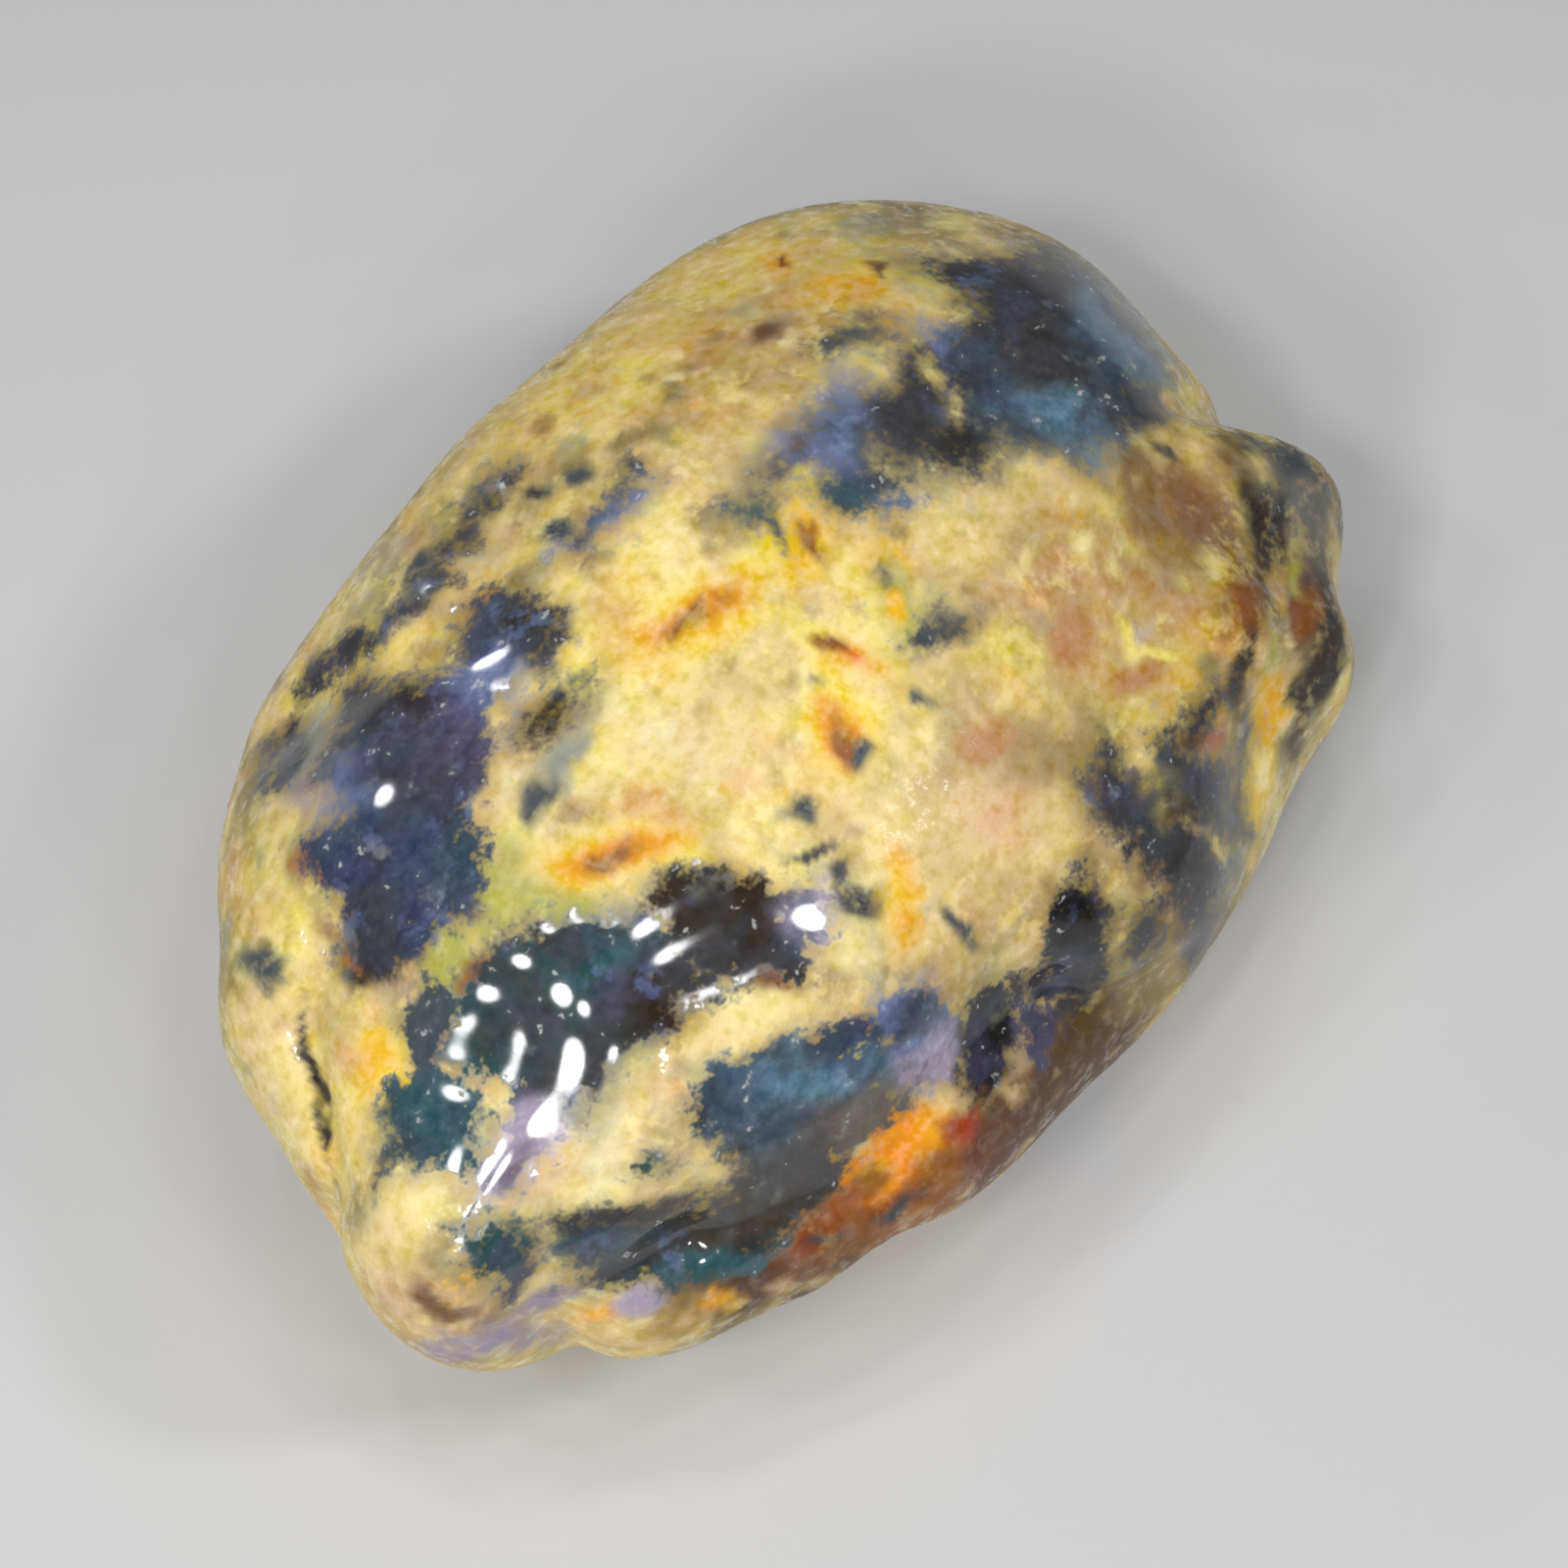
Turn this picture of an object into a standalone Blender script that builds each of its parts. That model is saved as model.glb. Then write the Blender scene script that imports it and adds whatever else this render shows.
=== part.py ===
"""Rough amber: one loose nodule of fossil resin, lying on a worn flat of its underside.

Metres, +Z up. +X runs along the stone's length. The origin is on the resting plane, under the middle of
the stone's box. The dimensions below are in millimetres and degrees.

The stone is described like a pebble laid flat. Its girdle is the widest outline, seen from above and given
as a radius for each bearing. The crown rises from the girdle and the underside falls from it, both along
one leaning axis. Lumps and furrows are then raised or cut square to that smooth body.
"""

import math

import bmesh
import bpy
import numpy as np

MM = 0.001

# The smooth body: half axes of the girdle, depths along the leaning axis, and how full the form is
HALF_LENGTH = 20.9
HALF_WIDTH = 14.3
CROWN_RISE = 10.8
UNDERSIDE_DROP = 9.7
LEAN = 12.0
LEAN_BEARING = 150.0
GIRDLE_FULLNESS = 0.92
CROWN_FULLNESS = 0.94

# Squares along each edge of the cube that the mesh is rounded from
MESH_DIVISIONS = 28

# The worn flat that the stone rests on, and how softly the sides turn into it
REST_DEPTH = 8.3
REST_BLEND = 0.35

# Lobes of the girdle: bearing, half spread in degrees, and how far each stands out or in
GIRDLE_LOBES = (
    (28.0, 16.0, 0.6),
    (63.0, 16.0, -1.0),
    (91.0, 14.0, -0.7),
    (122.0, 11.0, 0.7),
    (141.0, 10.0, 0.7),
    (156.0, 7.0, 0.8),
    (186.5, 10.0, 1.7),
    (194.0, 2.5, -0.5),
    (203.0, 6.0, 0.6),
    (248.0, 14.0, -0.85),
    (289.0, 22.0, 0.9),
    (311.0, 8.0, 1.5),
    (327.0, 8.0, 1.8),
    (338.0, 4.0, -0.9),
    (349.0, 11.0, -1.1),
)

# How far above and below the girdle its lobes reach, in degrees
LOBE_CLIMB = 36.0

# Lumps and pits: bearing, climb from the girdle in degrees, then reach and rise in millimetres
LUMPS = (
    (188.0, 21.0, 3.6, 0.9),
    (202.0, 1.0, 2.4, 0.3),
    (152.0, 41.0, 4.2, 0.6),
    (192.0, 56.0, 4.6, 1.0),
    (218.0, 3.0, 2.6, 0.3),
    (232.0, 5.0, 2.6, 0.35),
    (248.0, 4.0, 2.6, 0.3),
    (326.0, 15.0, 2.6, 0.7),
    (311.0, 7.0, 3.0, 0.5),
    (55.0, 65.0, 4.0, 0.5),
    (12.0, 53.0, 4.0, 0.5),
    (227.0, 53.0, 2.6, 0.3),
    (212.0, 66.0, 2.4, 0.2),
    (350.0, 58.0, 2.8, -0.45),
    (281.0, 30.0, 2.0, -0.35),
    (250.0, 27.0, 2.2, -0.4),
    (142.0, 66.0, 1.9, -0.3),
    (70.0, -25.0, 4.0, 0.6),
    (128.0, -30.0, 3.4, -0.6),
    (250.0, -28.0, 4.2, 0.6),
    (10.0, -32.0, 3.2, -0.5),
    (300.0, -35.0, 3.4, 0.5),
    (195.0, -30.0, 3.2, -0.5),
)

# Furrows: half width and depth in millimetres, then the bearing and climb of each place that they pass
FURROWS = (
    (1.5, 0.5, ((88.0, 59.0), (115.0, 62.0), (123.0, 56.0), (129.0, 47.0), (129.0, 35.0))),
    (0.9, 0.6, ((163.0, 42.0), (165.0, 33.0), (170.0, 26.0), (175.0, 20.0), (174.0, 4.0))),
    (1.1, 0.6, ((194.0, 0.0), (194.0, 6.0), (199.0, 18.0), (206.0, 20.0))),
    (1.6, 0.6, ((206.0, 20.0), (215.0, 20.0), (223.0, 18.0), (240.0, 21.0), (255.0, 15.0))),
    (2.0, 0.5, ((326.0, 35.0), (322.0, 24.0), (314.0, 20.0), (306.0, 16.0), (292.0, 14.0))),
    (1.1, 0.5, ((268.0, 0.0), (261.0, 8.0), (255.0, 15.0))),
    (1.4, 0.6, ((20.0, -8.0), (30.0, -30.0), (52.0, -38.0))),
    (1.2, 0.5, ((150.0, -10.0), (160.0, -28.0), (150.0, -44.0))),
    (1.4, 0.6, ((222.0, -8.0), (230.0, -28.0), (218.0, -42.0))),
)

# Small swells all round, drawn from one seed
SWELL_SEED = 11
SWELL_COUNT = 60
SWELL_REACH = (2.6, 6.0)
SWELL_RISE = 0.34

AMBER_COLOUR = (0.55, 0.36, 0.12, 1.0)
AMBER_ROUGHNESS = 0.3
AMBER_IOR = 1.54


def clear_scene():
    """Removes what the startup file brought."""
    for obj in list(bpy.data.objects):
        bpy.data.objects.remove(obj)


def unit(vectors):
    """Vectors at length one."""
    return vectors / np.linalg.norm(vectors, axis=-1, keepdims=True)


def lean_axis():
    """The leaning axis that crown and underside are drawn along, as a unit vector."""
    lean, bearing = math.radians(LEAN), math.radians(LEAN_BEARING)
    return np.array(
        [
            math.sin(lean) * math.cos(bearing),
            math.sin(lean) * math.sin(bearing),
            math.cos(lean),
        ]
    )


def turn_between(bearings, bearing):
    """Signed angle in degrees from one bearing to others, from -180 to 180."""
    return (bearings - bearing + 180.0) % 360.0 - 180.0


def bell(distance, reach):
    """One at no distance, falling smoothly to almost nothing at about twice the reach."""
    return np.exp(-((distance / reach) ** 2))


def girdle_radius(bearings, climbs):
    """Radius of the girdle: an ellipse, plus a bell-shaped swell for each lobe. The lobes keep their size
    near the girdle and run out above and below it."""
    angle = np.radians(bearings)
    radius = 1.0 / np.hypot(np.cos(angle) / HALF_LENGTH, np.sin(angle) / HALF_WIDTH)
    near = np.exp(-((climbs / LOBE_CLIMB) ** 6))
    for bearing, spread, rise in GIRDLE_LOBES:
        radius = radius + near * rise * bell(turn_between(bearings, bearing), spread)
    return radius


def smooth_body(bearings, climbs):
    """Points of the smooth body: the girdle's radius shrinks with the cosine of the climb, and the height
    along the leaning axis grows with its sine. Powers under one make the form fuller than an ellipsoid."""
    angle, climb = np.radians(bearings), np.radians(climbs)
    inward = np.cos(climb).clip(0.0) ** GIRDLE_FULLNESS
    height = np.sign(climb) * np.abs(np.sin(climb)) ** CROWN_FULLNESS
    height = height * np.where(climb > 0, CROWN_RISE, UNDERSIDE_DROP)
    radius = girdle_radius(bearings, climbs) * inward
    flat = np.stack([radius * np.cos(angle), radius * np.sin(angle), 0.0 * radius], -1)
    return flat + height[..., None] * lean_axis()


def outward(directions):
    """Unit normals of the leaning ellipsoid nearest to the body, for unit directions on a sphere."""
    middle = (CROWN_RISE + UNDERSIDE_DROP) / 2
    stretch = np.column_stack(
        [(HALF_LENGTH, 0.0, 0.0), (0.0, HALF_WIDTH, 0.0), middle * lean_axis()]
    )
    return unit(directions @ np.linalg.inv(stretch))


def lump_rise(points):
    """Height that the named lumps and hollows add at each point."""
    rise = np.zeros(len(points))
    for bearing, climb, reach, height in LUMPS:
        centre = smooth_body(np.array([bearing]), np.array([climb]))[0]
        rise += height * bell(np.linalg.norm(points - centre, axis=1), reach)
    return rise


def distance_to_line(points, line):
    """Shortest distance from each point to a line through the given corners."""
    nearest = np.full(len(points), np.inf)
    for start, end in zip(line[:-1], line[1:]):
        along = end - start
        share = ((points - start) @ along / (along @ along)).clip(0.0, 1.0)
        gap = points - start - share[:, None] * along
        nearest = np.minimum(nearest, np.linalg.norm(gap, axis=1))
    return nearest


def furrow_cut(points):
    """Depth that the furrows take away at each point."""
    cut = np.zeros(len(points))
    for width, depth, route in FURROWS:
        bearings, climbs = np.array(route).T
        line = smooth_body(bearings, climbs)
        cut += depth * bell(distance_to_line(points, line), width)
    return cut


def swell_rise(points):
    """Gentle swells and dips all round, each a bell at a seeded place on the body."""
    draw = np.random.default_rng(SWELL_SEED)
    rise = np.zeros(len(points))
    for _ in range(SWELL_COUNT):
        place = smooth_body(
            np.array([draw.uniform(0.0, 360.0)]),
            np.array([math.degrees(math.asin(draw.uniform(-1.0, 1.0)))]),
        )[0]
        reach = draw.uniform(*SWELL_REACH)
        height = draw.uniform(-SWELL_RISE, SWELL_RISE)
        rise += height * bell(np.linalg.norm(points - place, axis=1), reach)
    return rise


def worn_flat(points):
    """Turns the lowest part of the body softly into the plane that it rests on, at height zero."""
    above = points[:, 2] + REST_DEPTH
    soft = REST_BLEND * np.logaddexp(0.0, above / REST_BLEND) - REST_BLEND
    return np.column_stack([points[:, :2], soft.clip(0.0)])


def stone_points(directions):
    """Points of the finished stone in millimetres, for unit directions on a sphere."""
    bearings = np.degrees(np.arctan2(directions[:, 1], directions[:, 0]))
    climbs = np.degrees(np.arcsin(directions[:, 2].clip(-1.0, 1.0)))
    body = smooth_body(bearings, climbs)
    rise = lump_rise(body) + swell_rise(body) - furrow_cut(body)
    return worn_flat(body + rise[:, None] * outward(directions))


def over_origin(points):
    """Moves points so that the middle of their box stands over the origin."""
    middle = (points.min(0) + points.max(0)) / 2
    return points - (middle[0], middle[1], 0.0)


def rounded_cube_directions(cube_points):
    """Unit directions for points of a cube of side two, spaced evenly by the angle that they stand at."""
    return unit(np.tan(cube_points * math.pi / 4))


def stone_mesh():
    """A cube divided into a grid, rounded to a sphere and then drawn out to the stone's form."""
    bm = bmesh.new()
    bmesh.ops.create_cube(bm, size=2.0)
    bmesh.ops.subdivide_edges(
        bm, edges=list(bm.edges), cuts=MESH_DIVISIONS - 1, use_grid_fill=True
    )
    directions = rounded_cube_directions(np.array([v.co for v in bm.verts], float))
    for vertex, place in zip(bm.verts, over_origin(stone_points(directions)) * MM):
        vertex.co = place
    bmesh.ops.triangulate(bm, faces=list(bm.faces), quad_method="SHORT_EDGE")
    bmesh.ops.recalc_face_normals(bm, faces=list(bm.faces))
    mesh = bpy.data.meshes.new("amber_nodule")
    bm.to_mesh(mesh)
    bm.free()
    mesh.shade_smooth()
    return mesh


def amber_material():
    """Cloudy honey-coloured resin with a soft shine."""
    material = bpy.data.materials.new("rough_amber")
    material.use_nodes = True
    shader = material.node_tree.nodes["Principled BSDF"]
    shader.inputs["Base Color"].default_value = AMBER_COLOUR
    shader.inputs["Roughness"].default_value = AMBER_ROUGHNESS
    shader.inputs["Metallic"].default_value = 0.0
    shader.inputs["IOR"].default_value = AMBER_IOR
    material.diffuse_color = AMBER_COLOUR
    return material


def main():
    clear_scene()
    collection = bpy.data.collections.new("rough_amber")
    bpy.context.scene.collection.children.link(collection)
    stone = bpy.data.objects.new("amber_nodule", stone_mesh())
    stone.data.materials.append(amber_material())
    collection.objects.link(stone)


main()
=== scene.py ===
"""Rough amber: the finish of one loose nodule of fossil resin, with its stage.

The nodule is one closed surface that stands for the solid of the same name. Its form is the solid's own,
worked out on a finer grid: a girdle, a crown and an underside, then lumps, pits and furrows. On top of it
come the cloudy crust, the clear dark windows that look into the resin, stains, and a fine grain.

A place on the side that the photo shows is given by its pixel in a frame of 1600 by 1600, and is carried
onto the surface along the camera's ray. Lengths are in millimetres and angles in degrees unless a name
says otherwise.
"""

import math
from typing import NamedTuple

import bpy
import numpy as np
from bpy.props import FloatProperty, FloatVectorProperty, PointerProperty
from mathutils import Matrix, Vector


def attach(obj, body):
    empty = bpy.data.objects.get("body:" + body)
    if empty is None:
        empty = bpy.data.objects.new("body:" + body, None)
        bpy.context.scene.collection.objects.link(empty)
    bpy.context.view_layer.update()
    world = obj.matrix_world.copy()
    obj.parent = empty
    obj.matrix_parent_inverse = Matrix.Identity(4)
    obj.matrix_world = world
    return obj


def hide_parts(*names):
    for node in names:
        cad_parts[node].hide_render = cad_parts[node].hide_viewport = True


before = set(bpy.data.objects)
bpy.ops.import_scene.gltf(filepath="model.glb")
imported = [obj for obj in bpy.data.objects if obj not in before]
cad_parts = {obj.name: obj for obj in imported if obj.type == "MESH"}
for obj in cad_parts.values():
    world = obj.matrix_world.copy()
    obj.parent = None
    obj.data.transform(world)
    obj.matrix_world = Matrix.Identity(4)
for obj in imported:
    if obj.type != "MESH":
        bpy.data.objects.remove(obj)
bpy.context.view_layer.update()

bl_info = {
    "name": "Rough amber",
    "version": (1, 0, 0),
    "blender": (4, 5, 0),
    "location": "3D View > Sidebar > Amber",
    "description": "Adds a nodule of rough amber and a small studio for it",
    "category": "Add Mesh",
}

MM = 0.001
NODE = "amber_nodule"

# The smooth body: half axes of the girdle, depths along the leaning axis, and how full the form is
HALF_LENGTH = 20.9
HALF_WIDTH = 14.3
CROWN_RISE = 10.8
UNDERSIDE_DROP = 9.7
LEAN = 12.0
LEAN_BEARING = 150.0
GIRDLE_FULLNESS = 0.92
CROWN_FULLNESS = 0.94

# The worn flat that the stone rests on, and how softly the sides turn into it
REST_DEPTH = 8.3
REST_BLEND = 0.35

# Squares along each edge of the cube that the mesh is rounded from
MESH_DIVISIONS = 128

# Share of a map square that stays free at each of its edges
MAP_MARGIN = 0.02

# Lattice noise: how many random numbers it picks from, what shifts its cells so that they count up from
# nought, and the primes that mix a corner's three counts
LATTICE_NUMBERS = 4096
LATTICE_SHIFT = 500.0
LATTICE_PRIMES = (73856093, 19349663, 83492791)

# Lobes of the girdle: bearing, half spread in degrees, and how far each stands out or in
GIRDLE_LOBES = (
    (28.0, 16.0, 0.6),
    (63.0, 16.0, -1.0),
    (91.0, 14.0, -0.7),
    (122.0, 11.0, 0.7),
    (141.0, 10.0, 0.7),
    (156.0, 7.0, 0.8),
    (186.5, 10.0, 1.7),
    (194.0, 2.5, -0.5),
    (203.0, 6.0, 0.6),
    (248.0, 14.0, -0.85),
    (289.0, 22.0, 0.9),
    (311.0, 8.0, 1.5),
    (327.0, 8.0, 1.8),
    (338.0, 4.0, -0.9),
    (349.0, 11.0, -1.1),
)

# How far above and below the girdle its lobes reach, in degrees
LOBE_CLIMB = 36.0

# Lumps and pits: bearing, climb from the girdle in degrees, then reach and rise in millimetres
LUMPS = (
    (188.0, 21.0, 3.6, 0.9),
    (202.0, 1.0, 2.4, 0.3),
    (152.0, 41.0, 4.2, 0.6),
    (192.0, 56.0, 4.6, 1.0),
    (218.0, 3.0, 2.6, 0.3),
    (232.0, 5.0, 2.6, 0.35),
    (248.0, 4.0, 2.6, 0.3),
    (326.0, 15.0, 2.6, 0.7),
    (311.0, 7.0, 3.0, 0.5),
    (55.0, 65.0, 4.0, 0.5),
    (12.0, 53.0, 4.0, 0.5),
    (227.0, 53.0, 2.6, 0.3),
    (212.0, 66.0, 2.4, 0.2),
    (350.0, 58.0, 2.8, -0.45),
    (281.0, 30.0, 2.0, -0.35),
    (250.0, 27.0, 2.2, -0.4),
    (142.0, 66.0, 1.9, -0.3),
    (70.0, -25.0, 4.0, 0.6),
    (128.0, -30.0, 3.4, -0.6),
    (250.0, -28.0, 4.2, 0.6),
    (10.0, -32.0, 3.2, -0.5),
    (300.0, -35.0, 3.4, 0.5),
    (195.0, -30.0, 3.2, -0.5),
)

# Furrows: half width and depth in millimetres, then the bearing and climb of each place that they pass
FURROWS = (
    (1.5, 0.5, ((88.0, 59.0), (115.0, 62.0), (123.0, 56.0), (129.0, 47.0), (129.0, 35.0))),
    (0.9, 0.6, ((163.0, 42.0), (165.0, 33.0), (170.0, 26.0), (175.0, 20.0), (174.0, 4.0))),
    (1.1, 0.6, ((194.0, 0.0), (194.0, 6.0), (199.0, 18.0), (206.0, 20.0))),
    (1.6, 0.6, ((206.0, 20.0), (215.0, 20.0), (223.0, 18.0), (240.0, 21.0), (255.0, 15.0))),
    (2.0, 0.5, ((326.0, 35.0), (322.0, 24.0), (314.0, 20.0), (306.0, 16.0), (292.0, 14.0))),
    (1.1, 0.5, ((268.0, 0.0), (261.0, 8.0), (255.0, 15.0))),
    (1.4, 0.6, ((20.0, -8.0), (30.0, -30.0), (52.0, -38.0))),
    (1.2, 0.5, ((150.0, -10.0), (160.0, -28.0), (150.0, -44.0))),
    (1.4, 0.6, ((222.0, -8.0), (230.0, -28.0), (218.0, -42.0))),
)

# Small swells all round, drawn from one seed
SWELL_SEED = 11
SWELL_COUNT = 60
SWELL_REACH = (2.6, 6.0)
SWELL_RISE = 0.34

# The camera: where it stands round the stone, its lens, and the point that it looks at
VIEW_AZIMUTH = -58.0
VIEW_ELEVATION = 62.0
VIEW_DISTANCE = 135.7
VIEW_LENS = 100.0
SENSOR = 36.0
VIEW_AIM = (-0.01, -0.49, REST_DEPTH)

# The small lights: how far they stand off the stone, and how wide one of the usual size is
LIGHT_DISTANCE = 200.0
SMALL_LIGHT = 20.0
PHOTO_SIDE = 1600

# The colours that the finish is mixed from, in 8-bit sRGB
COLOURS = {
    "cream": (240, 218, 146),
    "pale": (255, 236, 160),
    "gold": (246, 208, 84),
    "straw": (224, 200, 128),
    "tan": (196, 158, 102),
    "terracotta": (188, 122, 86),
    "olive": (150, 134, 84),
    "moss": (176, 172, 84),
    "orange": (232, 140, 30),
    "fire": (255, 160, 18),
    "red": (160, 58, 34),
    "rust": (138, 78, 30),
    "redbrown": (176, 120, 84),
    "maroon": (98, 58, 34),
    "bronze": (88, 56, 28),
    "pink": (208, 168, 138),
    "lavender": (164, 152, 172),
    "charcoal": (62, 62, 65),
    "umber": (50, 40, 32),
    "navy": (60, 66, 92),
    "steel": (60, 76, 92),
    "blue": (104, 118, 158),
    "purple": (82, 76, 100),
    "teal": (54, 84, 92),
    "petrol": (94, 124, 144),
    "green": (44, 76, 76),
    "slate": (72, 80, 84),
    "silver": (104, 104, 98),
    "peach": (226, 192, 134),
    "mist": (156, 158, 142),
    "ochre": (208, 176, 98),
    "honey": (248, 222, 128),
    "brown": (112, 80, 54),
    "sienna": (190, 138, 88),
    "amber": (244, 188, 58),
    "copper": (152, 88, 36),
    "ivory": (252, 240, 194),
    "fawn": (164, 138, 90),
    "hazel": (144, 106, 68),
    "sepia": (84, 56, 38),
    "pitch": (20, 20, 22),
    "smoke": (98, 86, 74),
    "peat": (66, 60, 50),
}


class Mark(NamedTuple):
    """An oval patch: colour, the pixel of its middle, its two half axes, and the turn of the first from
    the picture's right, counter-clockwise."""

    colour: str
    at: tuple
    half: tuple
    turn: float = 0.0


# Clear windows in the crust, dark because the light goes deep into the resin there
WINDOWS = (
    # Upper right, from the wedge at the rim to the pit
    Mark("charcoal", (1062, 335), (3.0, 1.5), -48),
    Mark("charcoal", (1000, 275), (1.9, 0.55), -8),
    Mark("petrol", (1149, 350), (1.7, 1.5)),
    Mark("petrol", (1092, 424), (2.4, 1.1), 8),
    Mark("steel", (1165, 408), (1.2, 0.8), 30),
    Mark("charcoal", (932, 419), (1.8, 1.2), 72),
    Mark("charcoal", (985, 438), (1.2, 0.8), -20),
    Mark("blue", (862, 440), (1.5, 1.0), 62),
    Mark("purple", (812, 461), (1.1, 0.3), 38),
    Mark("blue", (980, 345), (0.9, 0.5), -20),
    Mark("navy", (1016, 375), (1.5, 0.5), -50),
    Mark("teal", (868, 499), (1.2, 0.5), -12),
    Mark("blue", (912, 512), (0.6, 0.35)),
    Mark("slate", (872, 347), (1.3, 0.34), 16),
    Mark("charcoal", (902, 338), (0.5, 0.3), 20),
    Mark("teal", (766, 513), (0.75, 0.3), 10),
    Mark("teal", (793, 532), (0.55, 0.26), -70),
    Mark("blue", (612, 528), (1.4, 0.26), 38),
    # The furrow down the left edge
    Mark("charcoal", (503, 497), (1.1, 0.3), 46),
    Mark("charcoal", (470, 545), (1.1, 0.34), 64),
    Mark("slate", (440, 590), (0.8, 0.3), 52),
    Mark("charcoal", (405, 625), (1.2, 0.34), 32),
    Mark("charcoal", (350, 662), (1.4, 0.5), 36),
    Mark("charcoal", (308, 694), (0.9, 0.5), 46),
    # The large dark field on the left
    Mark("navy", (408, 850), (3.3, 2.0), 94),
    Mark("purple", (440, 752), (1.9, 1.5), -60),
    Mark("blue", (488, 690), (1.5, 1.1), 40),
    Mark("charcoal", (404, 716), (1.4, 0.8), 20),
    Mark("charcoal", (540, 652), (1.1, 0.6), -70),
    Mark("blue", (352, 796), (1.2, 1.0), 80),
    Mark("charcoal", (286, 762), (1.0, 0.4), 80),
    Mark("steel", (470, 880), (1.6, 0.8), 84),
    Mark("navy", (388, 952), (1.6, 0.7), 24),
    Mark("umber", (560, 732), (0.8, 0.35), 34),
    Mark("slate", (584, 693), (0.4, 0.2), 40),
    # The dark pool in the middle
    Mark("green", (560, 1030), (2.0, 1.7), 20),
    Mark("green", (508, 1010), (1.6, 1.1), 60),
    Mark("teal", (600, 956), (2.3, 0.7), -6),
    Mark("umber", (655, 1040), (1.6, 1.0), 10),
    Mark("charcoal", (700, 1000), (1.3, 0.7), -20),
    Mark("umber", (738, 928), (2.0, 1.2), -14),
    Mark("umber", (782, 975), (1.5, 0.5), -28),
    Mark("charcoal", (580, 1095), (1.6, 0.6), 30),
    Mark("slate", (438, 1035), (1.4, 0.7), 80),
    # The two lavender patches below are a painted highlight: the pale haze of glare where the small lights
    # are mirrored, on the pool and on the brown pit
    Mark("lavender", (530, 1172), (1.2, 0.7), 62),
    Mark("lavender", (828, 930), (0.8, 0.7), 40),
    Mark("teal", (440, 1145), (1.5, 1.2), 30),
    Mark("teal", (465, 1170), (1.0, 0.6), -20),
    Mark("slate", (395, 1180), (0.9, 0.3), 60),
    # The lower valley
    Mark("green", (508, 1270), (1.0, 0.8), 30),
    Mark("charcoal", (526, 1308), (0.9, 0.34), 52),
    Mark("teal", (622, 1276), (1.4, 0.6), 8),
    Mark("peat", (660, 1246), (1.8, 0.5), 8),
    Mark("teal", (724, 1296), (2.4, 0.6), 10),
    Mark("charcoal", (650, 1292), (1.9, 0.34), 22),
    Mark("peat", (764, 1250), (2.4, 0.8), 16),
    Mark("peat", (812, 1212), (1.9, 1.0), 30),
    Mark("slate", (786, 1166), (1.6, 0.7), 30),
    Mark("petrol", (822, 1105), (2.1, 1.2)),
    Mark("steel", (760, 1120), (1.6, 1.1), 40),
    Mark("smoke", (878, 1140), (1.6, 0.8), 20),
    Mark("navy", (866, 1062), (1.3, 0.4), 8),
    Mark("blue", (930, 1043), (0.9, 0.8)),
    Mark("lavender", (952, 1082), (0.8, 0.7), 40),
    # The deep pits on the right
    Mark("pitch", (1010, 1062), (1.9, 0.74), 82),
    Mark("purple", (1060, 1052), (0.8, 0.6), 80),
    Mark("pitch", (1105, 965), (2.0, 0.95), 84),
    Mark("pitch", (1058, 1010), (0.8, 0.42), 30),
    Mark("charcoal", (1143, 810), (1.5, 0.62), -74),
    Mark("charcoal", (1236, 808), (1.3, 0.7), -62),
    Mark("olive", (1192, 812), (0.8, 0.6)),
    Mark("charcoal", (1218, 893), (1.4, 0.6), 68),
    Mark("charcoal", (1166, 868), (0.9, 0.5), -60),
    Mark("charcoal", (1178, 950), (1.0, 0.45), 60),
    Mark("charcoal", (1228, 728), (1.1, 0.3), 42),
    Mark("slate", (957, 638), (0.8, 0.4), 16),
    Mark("green", (659, 1191), (0.38, 0.3)),
    Mark("charcoal", (1308, 532), (1.0, 0.2), 72),
)

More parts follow.
